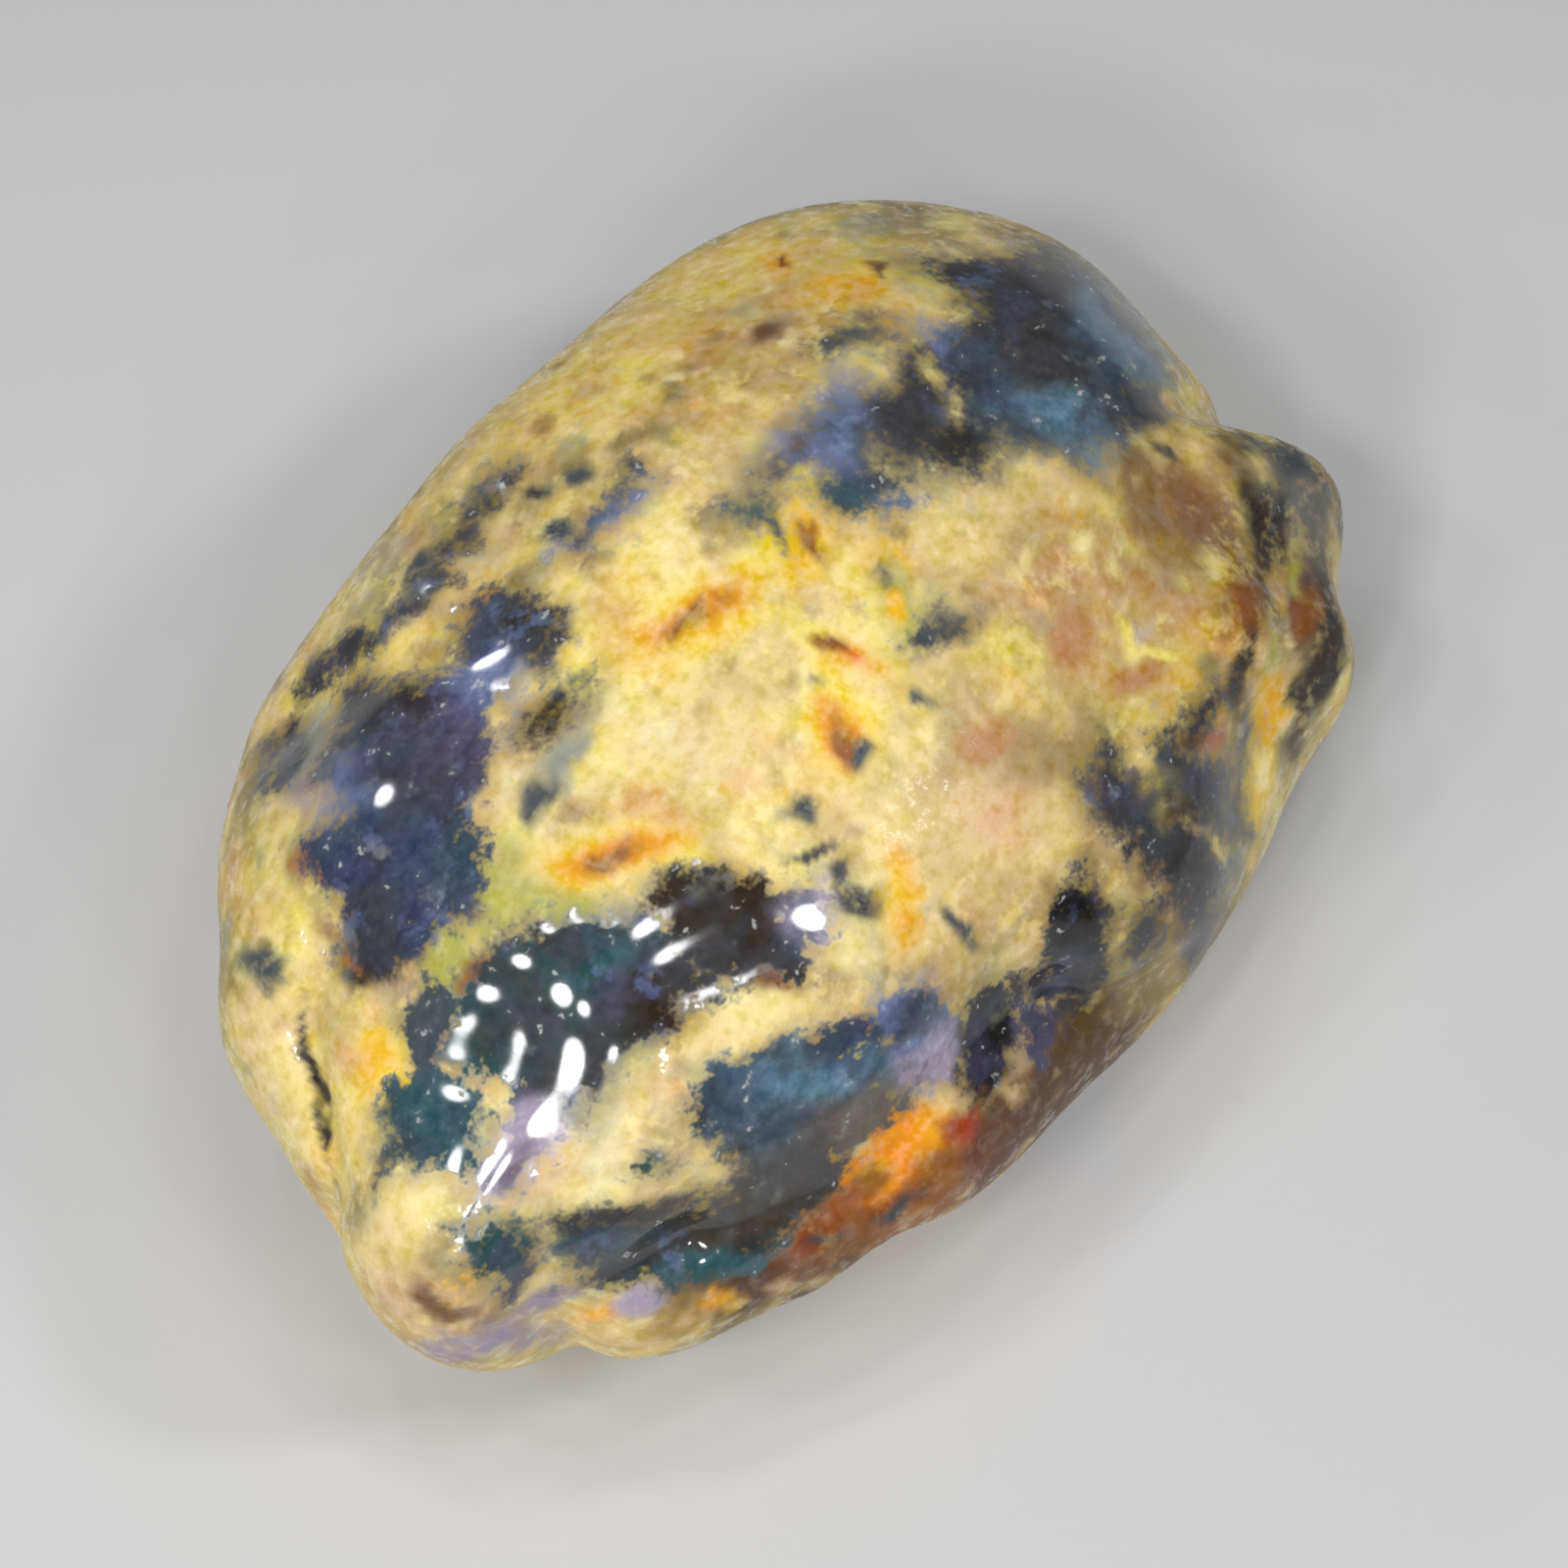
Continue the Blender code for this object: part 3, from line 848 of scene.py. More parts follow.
class AmberStage(bpy.types.PropertyGroup):
    """The floor, the lights and the camera."""

    floor_tone: FloatProperty(
        name="Floor tone", description="How pale the floor is", default=0.62, min=0.0, max=1.0
    )
    ring_power: FloatProperty(
        name="Small lights",
        description="Power of a small light of the usual size",
        default=0.026,
        min=0.0,
        unit="POWER",
    )
    key_power: FloatProperty(
        name="Key light", description="Power of the soft main light", default=0.05, min=0.0, unit="POWER"
    )
    sky_strength: FloatProperty(
        name="Sky", description="Strength of the even light all round", default=0.09, min=0.0
    )


def unit(vectors):
    """Vectors at length one."""
    return vectors / np.linalg.norm(vectors, axis=-1, keepdims=True)


def lean_axis():
    """The leaning axis that crown and underside are drawn along, as a unit vector."""
    lean, bearing = math.radians(LEAN), math.radians(LEAN_BEARING)
    return np.array(
        [
            math.sin(lean) * math.cos(bearing),
            math.sin(lean) * math.sin(bearing),
            math.cos(lean),
        ]
    )


def turn_between(bearings, bearing):
    """Signed angle in degrees from one bearing to others, from -180 to 180."""
    return (bearings - bearing + 180.0) % 360.0 - 180.0


def bell(distance, reach):
    """One at no distance, falling smoothly to almost nothing at about twice the reach."""
    return np.exp(-((distance / reach) ** 2))


def girdle_radius(bearings, climbs):
    """Radius of the girdle: an ellipse, plus a bell-shaped swell for each lobe. The lobes keep their size
    near the girdle and run out above and below it."""
    angle = np.radians(bearings)
    radius = 1.0 / np.hypot(np.cos(angle) / HALF_LENGTH, np.sin(angle) / HALF_WIDTH)
    near = np.exp(-((climbs / LOBE_CLIMB) ** 6))
    for bearing, spread, rise in GIRDLE_LOBES:
        radius = radius + near * rise * bell(turn_between(bearings, bearing), spread)
    return radius


def smooth_body(bearings, climbs):
    """Points of the smooth body: the girdle's radius shrinks with the cosine of the climb, and the height
    along the leaning axis grows with its sine. Powers under one make the form fuller than an ellipsoid."""
    angle, climb = np.radians(bearings), np.radians(climbs)
    inward = np.cos(climb).clip(0.0) ** GIRDLE_FULLNESS
    height = np.sign(climb) * np.abs(np.sin(climb)) ** CROWN_FULLNESS
    height = height * np.where(climb > 0, CROWN_RISE, UNDERSIDE_DROP)
    radius = girdle_radius(bearings, climbs) * inward
    flat = np.stack([radius * np.cos(angle), radius * np.sin(angle), 0.0 * radius], -1)
    return flat + height[..., None] * lean_axis()


def outward(directions):
    """Unit normals of the leaning ellipsoid nearest to the body, for unit directions on a sphere."""
    middle = (CROWN_RISE + UNDERSIDE_DROP) / 2
    stretch = np.column_stack(
        [(HALF_LENGTH, 0.0, 0.0), (0.0, HALF_WIDTH, 0.0), middle * lean_axis()]
    )
    return unit(directions @ np.linalg.inv(stretch))


def lump_rise(points):
    """Height that the named lumps and hollows add at each point."""
    rise = np.zeros(len(points))
    for bearing, climb, reach, height in LUMPS:
        centre = smooth_body(np.array([bearing]), np.array([climb]))[0]
        rise += height * bell(np.linalg.norm(points - centre, axis=1), reach)
    return rise


def distance_to_line(points, line):
    """Shortest distance from each point to a line through the given corners."""
    nearest = np.full(len(points), np.inf)
    for start, end in zip(line[:-1], line[1:]):
        along = end - start
        share = ((points - start) @ along / (along @ along)).clip(0.0, 1.0)
        gap = points - start - share[:, None] * along
        nearest = np.minimum(nearest, np.linalg.norm(gap, axis=1))
    return nearest


def furrow_cut(points):
    """Depth that the furrows take away at each point."""
    cut = np.zeros(len(points))
    for width, depth, route in FURROWS:
        bearings, climbs = np.array(route).T
        line = smooth_body(bearings, climbs)
        cut += depth * bell(distance_to_line(points, line), width)
    return cut


def swell_rise(points):
    """Gentle swells and dips all round, each a bell at a seeded place on the body."""
    draw = np.random.default_rng(SWELL_SEED)
    rise = np.zeros(len(points))
    for _ in range(SWELL_COUNT):
        place = smooth_body(
            np.array([draw.uniform(0.0, 360.0)]),
            np.array([math.degrees(math.asin(draw.uniform(-1.0, 1.0)))]),
        )[0]
        reach = draw.uniform(*SWELL_REACH)
        height = draw.uniform(-SWELL_RISE, SWELL_RISE)
        rise += height * bell(np.linalg.norm(points - place, axis=1), reach)
    return rise


def worn_flat(points):
    """Turns the lowest part of the body softly into the plane that it rests on, at height zero."""
    above = points[:, 2] + REST_DEPTH
    soft = REST_BLEND * np.logaddexp(0.0, above / REST_BLEND) - REST_BLEND
    return np.column_stack([points[:, :2], soft.clip(0.0)])


def rounded_cube_directions(cube_points):
    """Unit directions for points of a cube of side two, spaced evenly by the angle that they stand at."""
    return unit(np.tan(cube_points * math.pi / 4))


class Grid(NamedTuple):
    """A cube's six squares, each a grid of two parameters, sewn into one closed surface."""

    directions: np.ndarray
    faces: np.ndarray
    uvs: np.ndarray


def cube_grid(divisions):
    """The grid over a cube of side two. Corners shared by two squares are one vertex, so no seam is open.
    Each square also has its own place in a map of three by two squares."""
    steps = np.arange(divisions + 1)
    along, across = np.meshgrid(steps, steps, indexing="ij")
    corners = []
    maps = []
    faces = []
    first = (steps[:-1, None] * (divisions + 1) + steps[:-1]).ravel()
    ring = np.array([0, divisions + 1, divisions + 2, 1])
    for side in range(6):
        axis, far = divmod(side, 2)
        square = np.empty(along.shape + (3,), int)
        square[..., axis] = far * divisions
        square[..., (axis + 1) % 3] = along
        square[..., (axis + 2) % 3] = across
        corners.append(square.reshape(-1, 3))
        cell = np.stack([along, across], -1).reshape(-1, 2) / divisions
        cell = cell * (1.0 - 2.0 * MAP_MARGIN) + MAP_MARGIN
        maps.append((cell + (axis, far)) / (3, 2))
        quads = first[:, None] + ring + side * (divisions + 1) ** 2
        faces.append(quads if far else quads[:, ::-1])
    faces = np.concatenate(faces)
    unique, sewn = np.unique(np.concatenate(corners), axis=0, return_inverse=True)
    uvs = np.concatenate(maps)[faces.ravel()]
    cube = unique / divisions * 2.0 - 1.0
    return Grid(rounded_cube_directions(cube), sewn.reshape(-1)[faces], uvs)


def lattice_noise(points, size, seed):
    """Smooth random values from -1 to 1. A cubic lattice of that cell size has a random number at each
    corner, and the eight round a point are blended by an S-shaped share along each axis."""
    table = np.random.default_rng(seed).uniform(-1.0, 1.0, LATTICE_NUMBERS)
    cell = points / size + LATTICE_SHIFT
    base = np.floor(cell).astype(np.int64)
    share = cell - base
    share = share * share * (3.0 - 2.0 * share)
    value = np.zeros(len(points))
    for corner in np.ndindex(2, 2, 2):
        x, y, z = ((base + corner) * LATTICE_PRIMES).T
        picked = table[(x ^ y ^ z) & (LATTICE_NUMBERS - 1)]
        weight = np.where(np.array(corner) == 1, share, 1.0 - share).prod(axis=1)
        value += picked * weight
    return value


def cloud(points, size, seed, layers=4, fade=0.55):
    """Layers of lattice noise, each half the size of the one before and weaker by the fade."""
    value = np.zeros(len(points))
    for layer in range(layers):
        value += fade**layer * lattice_noise(points, size / 2**layer, seed + layer)
    return value


def smooth_step(value, low, high):
    """From nought at low to one at high, along an S-shaped curve."""
    share = ((value - low) / (high - low)).clip(0.0, 1.0)
    return share * share * (3.0 - 2.0 * share)


def nodule_form(directions):
    """The nodule's points in the row frame, one for each direction. Lumps, swells and furrows are raised
    or cut square to the smooth body, and the worn flat lies at height nought."""
    bearings = np.degrees(np.arctan2(directions[:, 1], directions[:, 0]))
    climbs = np.degrees(np.arcsin(directions[:, 2].clip(-1.0, 1.0)))
    body = smooth_body(bearings, climbs)
    rise = lump_rise(body) + swell_rise(body) - furrow_cut(body)
    plain = worn_flat(body + rise[:, None] * outward(directions))
    middle = (plain.min(0) + plain.max(0)) / 2
    return plain - np.array([middle[0], middle[1], 0.0])


class View(NamedTuple):
    """The camera's place, its three directions, and its focal length in pixels."""

    place: np.ndarray
    right: np.ndarray
    up: np.ndarray
    back: np.ndarray
    focal: float


def photo_view():
    """The view that the photo was taken from, in the row frame."""
    turn = math.radians(VIEW_AZIMUTH)
    back = direction_at(VIEW_AZIMUTH, VIEW_ELEVATION)
    right = np.array([math.cos(turn), math.sin(turn), 0.0])
    place = np.array(VIEW_AIM) + back * VIEW_DISTANCE
    return View(place, right, np.cross(back, right), back, PHOTO_SIDE * VIEW_LENS / SENSOR)


def seen(points, view):
    """Pixel of each point in the photo's frame, and its distance in front of the camera."""
    offset = points - view.place
    depth = -(offset @ view.back)
    across = PHOTO_SIDE / 2 + view.focal * (offset @ view.right) / depth
    down = PHOTO_SIDE / 2 - view.focal * (offset @ view.up) / depth
    return np.stack([across, down], -1), depth


class Stone(NamedTuple):
    """The nodule's points in the row frame, their unit normals, and where the camera sees each."""

    points: np.ndarray
    normals: np.ndarray
    pixels: np.ndarray
    depths: np.ndarray


class Spot(NamedTuple):
    """A mark that has its place on the surface: colour, middle, the two directions of its half axes, the
    direction that it runs deep along, and the half axes."""

    colour: str
    middle: np.ndarray
    along: np.ndarray
    across: np.ndarray
    deep: np.ndarray
    half: tuple


def spot_of(mark, points, pixels, depths, view):
    """Carries a mark along the camera's ray to the nearest surface point that shows at its pixel."""
    miss = np.linalg.norm(pixels - mark.at, axis=1)
    near = np.flatnonzero(miss < max(PICK_REACH, miss.min() + 1.0))
    middle = points[near[depths[near].argmin()]]
    turn = math.radians(mark.turn)
    along = math.cos(turn) * view.right + math.sin(turn) * view.up
    across = np.cross(view.back, along)
    return Spot(mark.colour, middle, along, across, view.back, mark.half)


def hidden_spots(draw, kind, stone, view):
    """Seeded marks of one kind on the sides that face away from the camera."""
    count, half_range, colours = kind
    away = np.flatnonzero(stone.normals @ view.back < HIDDEN_FACING)
    spots = []
    for _ in range(count):
        pick = away[draw.integers(len(away))]
        normal = stone.normals[pick]
        along = unit(np.cross(normal, draw.normal(size=3)))
        half = draw.uniform(*half_range) * np.array([1.0, draw.uniform(*HIDDEN_SHAPE)])
        colour = colours[draw.integers(len(colours))]
        spots.append(Spot(colour, stone.points[pick], along, np.cross(normal, along), normal, half))
    return spots


def all_spots(stone, view):
    """The marks of each group as spots on the surface, those of the hidden sides with them."""
    front = stone.normals @ view.back > 0.0
    shown = stone.points[front], stone.pixels[front], stone.depths[front]
    draw = np.random.default_rng(HIDDEN_SEED)
    groups = (
        ("windows", WINDOWS, HIDDEN_WINDOWS),
        ("stains", STAINS, HIDDEN_STAINS),
        ("zones", ZONES, HIDDEN_ZONES),
        ("islands", ISLANDS, None),
    )
    spots = {}
    for name, marks, hidden in groups:
        spots[name] = [spot_of(mark, *shown, view) for mark in marks]
        if hidden:
            spots[name] += hidden_spots(draw, hidden, stone, view)
    return spots


def spot_distance(spot, points):
    """How far out of a spot each point lies, one on its edge: the length of the offset, measured in the
    spot's half axes, with a generous third one along its depth."""
    offset = points - spot.middle
    long, short = spot.half
    deep = min(max(DEEP_RANGE[0], DEEP_SHARE * max(long, short)), DEEP_RANGE[1])
    return np.sqrt(
        (offset @ spot.along / long) ** 2
        + (offset @ spot.across / short) ** 2
        + (offset @ spot.deep / deep) ** 2
    )


def field_and_tint(spots, points, palette, ground):
    """The joined field of the spots, in millimetres inside their edges, and their colours blended by how
    near each one is."""
    field = np.full(len(points), FAR_OUTSIDE)
    tint = np.tile(ground * GROUND_WEIGHT, (len(points), 1))
    total = np.full(len(points), GROUND_WEIGHT)
    for spot in spots:
        out = spot_distance(spot, points)
        size = math.sqrt(spot.half[0] * spot.half[1])
        field = np.maximum(field, (1.0 - out) * size)
        weight = np.exp(-BLEND_FALL * out.clip(0.0, BLEND_END) ** 2)
        tint += weight[:, None] * palette[spot.colour]
        total += weight
    return field, tint / total[:, None]


def outline_field(outline, pixels):
    """How far inside an outline each pixel lies, in pixels, and less than nought outside it. A pixel is
    inside when a line to the right of it crosses the outline an odd number of times."""
    corners = np.array(outline, float)
    inside = np.zeros(len(pixels), bool)
    for start, end in zip(corners, np.roll(corners, -1, axis=0)):
        spans = (start[1] > pixels[:, 1]) != (end[1] > pixels[:, 1])
        slope = (end[0] - start[0]) / (end[1] - start[1] or 1.0)
        inside ^= spans & (pixels[:, 0] < start[0] + (pixels[:, 1] - start[1]) * slope)
    gap = distance_to_line(pixels, np.vstack([corners, corners[:1]]))
    return np.where(inside, gap, -gap)


def outlined_windows(warped, stone, view):
    """The field of the outlined windows at the warped points, in millimetres inside their edges. It falls
    off behind the rim, so that a window that reaches the rim ends there."""
    pixels, depths = seen(warped, view)
    facing = stone.normals @ view.back
    near = facing > RIM_LEAST
    field = np.full(len(warped), FAR_OUTSIDE)
    for outline in WINDOW_OUTLINES.values():
        inside = outline_field(outline, pixels[near]) * depths[near] / view.focal
        field[near] = np.maximum(field[near], inside)
    return np.maximum(field - RIM_FALL * (RIM_START - facing).clip(0.0), FAR_OUTSIDE)


def painted(tint, spots, points, palette, grain, edge):
    """Colours with spots laid over them one by one. Each fades from full at the first share of its size to
    none at the second, sooner or later by the grain."""
    for spot in spots:
        out = spot_distance(spot, points) + EDGE_GRAIN * grain
        weight = 1.0 - smooth_step(out, *edge)
        tint = tint + weight[:, None] * (palette[spot.colour] - tint)
    return tint


def clouded(tint, clouds, points, palette, seed):
    """Colours with clouds of other colours laid over them, each where its own noise is high."""
    for order, (colour, size, low, high, strength) in enumerate(clouds):
        value = cloud(points, size, seed + SEED_STEP * order, CLOUD_LAYERS)
        share = strength * smooth_step(value, low, high)
        tint = tint + share[:, None] * (palette[colour] - tint)
    return tint


def folds(points, size, seed, layers, fade=0.55):
    """Three clouds, one for each axis, that push points about."""
    seeds = [seed + SEED_STEP * axis for axis in range(3)]
    return np.column_stack([cloud(points, size, each, layers, fade) for each in seeds])


def edge_softness(stone, view):
    """How soft a window's edge is at each point."""
    patches = smooth_step(cloud(stone.points, SOFT_SIZE, SOFT_SEED, 2), *SOFT_RANGE)
    from_sharp = np.linalg.norm(stone.pixels - SHARP_PIXEL, axis=1) * stone.depths / view.focal
    shown = stone.normals @ view.back > 0.0
    return SOFT_LEAST + SOFT_PATCHES * patches + SOFT_RIM * smooth_step(from_sharp, *SHARP_REACH) * shown


def finish_layers(stone, spots, grain, view, palette):
    """The finish at each point, under the names of its attributes: colours of the crust, of the windows and
    of the flecks in both, how far inside a window the point lies, how soft the edge is, and how warm."""
    points = stone.points
    warped = points + WARP_PUSH * folds(points, WARP_SIZE, WARP_SEED, 5)
    torn = warped + TEAR_PUSH * folds(points, TEAR_SIZE, TEAR_SEED, 2, 0.7)
    field, window = field_and_tint(spots["windows"], warped, palette, palette["charcoal"])
    field = np.maximum(field, outlined_windows(warped, stone, view))
    island_field, island = field_and_tint(spots["islands"], warped, palette, palette["cream"])
    field = np.minimum(field, -island_field)
    inside = smooth_step(field, *WINDOW_EDGE)[:, None]

    crust = np.tile(palette["cream"], (len(points), 1))
    crust = painted(crust, spots["zones"], warped, palette, grain, ZONE_EDGE)
    crust += smooth_step(island_field, *ISLAND_EDGE)[:, None] * (island - crust)
    fleck = clouded(crust, CRUST_FLECKS, points, palette, CRUST_FLECK_SEED)
    crust = clouded(crust, CRUST_CLOUDS, points, palette, CRUST_SEED)
    fleck += inside * (clouded(window, WINDOW_FLECKS, points, palette, WINDOW_FLECK_SEED) - fleck)
    window = clouded(window, WINDOW_CLOUDS, points, palette, WINDOW_SEED)
    veil = smooth_step(field + VEIL_NOISE * cloud(points, VEIL_SIZE, VEIL_SEED), *VEIL_RANGE)
    crust += VEIL_SHARE * veil[:, None] * (window - crust)
    crust = painted(crust, spots["stains"], torn, palette, grain, STAIN_EDGE)
    bare = np.zeros((len(points), 1))
    stained = painted(bare, spots["stains"], torn, dict.fromkeys(COLOURS, 1.0), grain, STAIN_EDGE)
    fleck += FLECK_SHARE * stained * (1.0 - inside) * (crust - fleck)
    return {
        "crust_tint": crust,
        "warmth": 0.5 + WARMTH_SWING * grain,
        "window_tint": window,
        "fleck_tint": fleck,
        "window_field": field,
        "softness": edge_softness(stone, view),
    }


def vertex_normals(points, faces):
    """Unit normals of a quad mesh: each face's cross product of diagonals, summed at its corners."""
    a, b, c, d = (points[faces[:, i]] for i in range(4))
    normal = np.cross(c - a, d - b)
    total = np.zeros_like(points)
    for corner in range(4):
        np.add.at(total, faces[:, corner], normal)
    return unit(total)


def new_material(name):
    """An empty material with a Principled BSDF and an output."""
    material = bpy.data.materials.new(name)
    material.use_nodes = True
    return material, material.node_tree.nodes["Principled BSDF"]


class Wiring:
    """Short names for adding nodes to a tree and joining them."""

    def __init__(self, tree):
        self.tree = tree

    def add(self, kind, **settings):
        node = self.tree.nodes.new(kind)
        for key, value in settings.items():
            setattr(node, key, value)
        return node

    def join(self, source, target):
        self.tree.links.new(source, target)

    def math(self, operation, first, second=0.0, clamp=False):
        node = self.add("ShaderNodeMath", operation=operation, use_clamp=clamp)
        for socket, value in zip(node.inputs, (first, second)):
            if isinstance(value, (int, float)):
                socket.default_value = value
            else:
                self.join(value, socket)
        return node.outputs[0]

    def mix(self, share, first, second, blend="MIX"):
        node = self.add("ShaderNodeMix", data_type="RGBA", blend_type=blend)
        for name, value in (("Factor", share), ("A", first), ("B", second)):
            socket = [s for s in node.inputs if s.name == name and s.enabled][0]
            if isinstance(value, (int, float, tuple)):
                socket.default_value = value
            else:
                self.join(value, socket)
        return [s for s in node.outputs if s.enabled][0]

    def noise(self, vector, size, detail):
        node = self.add("ShaderNodeTexNoise")
        self.join(vector, node.inputs["Vector"])
        node.inputs["Scale"].default_value = 1.0 / (size * MM)
        node.inputs["Detail"].default_value = detail
        node.inputs["Roughness"].default_value = NOISE_ROUGHNESS
        return node.outputs["Fac"]

    def stretch(self, value, low, high):
        node = self.add("ShaderNodeMapRange", interpolation_type="SMOOTHSTEP")
        self.join(value, node.inputs["Value"])
        for name, setting in (("From Min", low), ("From Max", high)):
            if isinstance(setting, (int, float)):
                node.inputs[name].default_value = setting
            else:
                self.join(setting, node.inputs[name])
        return node.outputs["Result"]

    def attribute(self, name):
        node = self.add("ShaderNodeAttribute", attribute_type="GEOMETRY", attribute_name=name)
        return node


def new_group(name, inputs, outputs):
    """An empty node group with the given sockets."""
    group = bpy.data.node_groups.new(name, "ShaderNodeTree")
    for title, kind, default in inputs:
        socket = group.interface.new_socket(title, in_out="INPUT", socket_type=kind)
        if default is not None:
            socket.default_value = default
    for title, kind in outputs:
        group.interface.new_socket(title, in_out="OUTPUT", socket_type=kind)
    wiring = Wiring(group)
    return group, wiring, wiring.add("NodeGroupInput"), wiring.add("NodeGroupOutput")


def ragged_edge_group():
    """A mask whose edge is broken up by noise: one where the field, pushed up and down by the noise, is
    over nought, with a soft step as wide as the softness."""
    group, wire, entry, leave = new_group(
        "ragged_edge",
        (
            ("Field", "NodeSocketFloat", 0.0),
            ("Softness", "NodeSocketFloat", 0.1),
            ("Raggedness", "NodeSocketFloat", 0.5),
            ("Grain", "NodeSocketFloat", 0.5),
        ),
        (("Mask", "NodeSocketFloat"),),
    )
    swing = wire.math("SUBTRACT", entry.outputs["Grain"], 0.5)
    swing = wire.math("MULTIPLY", swing, entry.outputs["Raggedness"])
    level = wire.math("ADD", entry.outputs["Field"], swing)
    low = wire.math("MULTIPLY", entry.outputs["Softness"], -1.0)
    mask = wire.stretch(level, low, entry.outputs["Softness"])
    wire.join(mask, leave.inputs["Mask"])
    return group


def mottle_group():
    """Changes a colour's brightness, warmth and depth from place to place, as a cloudy resin does."""
    group, wire, entry, leave = new_group(
        "mottle",
        (
            ("Colour", "NodeSocketColor", (0.8, 0.7, 0.4, 1.0)),
            ("Light", "NodeSocketFloat", 0.5),
            ("Warmth", "NodeSocketFloat", 0.5),
            ("Contrast", "NodeSocketFloat", 0.5),
        ),
        (("Colour", "NodeSocketColor"),),
    )
    light = wire.math("SUBTRACT", entry.outputs["Light"], 0.5)
    swing = wire.math("MULTIPLY", light, entry.outputs["Contrast"])
    tone = wire.add("ShaderNodeHueSaturation")
    wire.join(entry.outputs["Colour"], tone.inputs["Color"])
    wire.join(wire.math("ADD", swing, 1.0), tone.inputs["Value"])
    warmth = wire.math("SUBTRACT", entry.outputs["Warmth"], 0.5)
    hue = wire.math("MULTIPLY", warmth, HUE_SWING)
    wire.join(wire.math("ADD", hue, 0.5), tone.inputs["Hue"])
    saturation = wire.math("MULTIPLY", light, SATURATION_SWING)
    wire.join(wire.math("ADD", saturation, 1.0), tone.inputs["Saturation"])
    wire.join(tone.outputs["Color"], leave.inputs["Colour"])
    return group


def place_group(wire, group, **values):
    """A node that uses the group, with its named inputs set or joined."""
    node = wire.add("ShaderNodeGroup", node_tree=group)
    for title, value in values.items():
        socket = node.inputs[title]
        if isinstance(value, (int, float, tuple)):
            socket.default_value = value
        else:
            wire.join(value, socket)
    return node.outputs[0]


def clouded_resin(wire, mottle):
    """The colours of crust and window where the shader is, and the fine noise that broke them up. Flecks of
    a second colour lie over each where a coarser noise is high, and pale specks are painted in the windows as
    glints, a painted highlight."""
    place = wire.add("ShaderNodeTexCoord").outputs["Object"]
    fine = wire.noise(place, *FINE_NOISE)
    coarse = wire.noise(place, *COARSE_NOISE)
    flecks = wire.math("MULTIPLY", wire.stretch(coarse, *FLECK_RANGE), FLECK_SHARE)
    warmth = wire.attribute("warmth").outputs["Fac"]
    fleck = wire.attribute("fleck_tint").outputs["Color"]
    colours = []
    for name, contrast in CONTRASTS.items():
        colour = wire.mix(flecks, wire.attribute(name).outputs["Color"], fleck)
        colours.append(place_group(wire, mottle, Colour=colour, Light=fine, Warmth=warmth, Contrast=contrast))
    crust, window = colours
    # Pale specks painted on the window's colour stand in for glints: a painted highlight
    painted_glints = wire.math("MULTIPLY", wire.stretch(fine, *PAINTED_GLINT_RANGE), PAINTED_GLINT_SHARE)
    return crust, wire.mix(painted_glints, window, PAINTED_GLINT_COLOUR), fine


def crust_material(surface, groups):
    """Cloudy resin, and the dark rims of the windows. Its denser grains are as glossy as a window."""
    ragged, mottle = groups
    material, shader = new_material("amber_crust")
    wire = Wiring(material.node_tree)
    crust, window, fine = clouded_resin(wire, mottle)
    window_field = wire.attribute("window_field").outputs["Fac"]
    softness = wire.attribute("softness").outputs["Fac"]
    window_mask = place_group(
        wire, ragged, Field=window_field, Softness=softness, Raggedness=RAGGEDNESS, Grain=fine
    )
    wire.join(wire.mix(window_mask, crust, window), shader.inputs["Base Color"])

    dense = wire.math("MAXIMUM", window_mask, wire.stretch(fine, *DENSE_RANGE))
    step = surface.window_roughness - surface.crust_roughness
    rough = wire.math("ADD", wire.math("MULTIPLY", dense, step), surface.crust_roughness)
    wire.join(rough, shader.inputs["Roughness"])
    shader.inputs["IOR"].default_value = RESIN_IOR
    return material


def window_material(surface, groups):
    """Clear dark resin: light goes in, and what comes back is tinted by its depth."""
    _, mottle = groups
    material, shader = new_material("amber_window")
    wire = Wiring(material.node_tree)
    _, window, _ = clouded_resin(wire, mottle)
    paler = wire.mix(1.0, window, (surface.scatter,) * 3 + (1.0,), "MULTIPLY")
    wire.join(paler, shader.inputs["Base Color"])
    shader.inputs["Roughness"].default_value = surface.window_roughness
    shader.inputs["IOR"].default_value = RESIN_IOR
    shader.inputs["Transmission Weight"].default_value = surface.clearness
    inside = wire.add("ShaderNodeVolumeAbsorption")
    inside.inputs["Color"].default_value = RESIN_DEPTH_COLOUR
    inside.inputs["Density"].default_value = surface.absorption
    output = material.node_tree.nodes["Material Output"]
    wire.join(inside.outputs[0], output.inputs["Volume"])
    return material


def add_attribute(mesh, name, values):
    """Puts one number or one colour at each vertex."""
    if values.ndim == 1:
        layer = mesh.attributes.new(name, "FLOAT", "POINT")
        layer.data.foreach_set("value", values.astype(np.float32))
    else:
        layer = mesh.attributes.new(name, "FLOAT_COLOR", "POINT")
        full = np.column_stack([values, np.ones(len(values))]).astype(np.float32)
        layer.data.foreach_set("color", full.ravel())


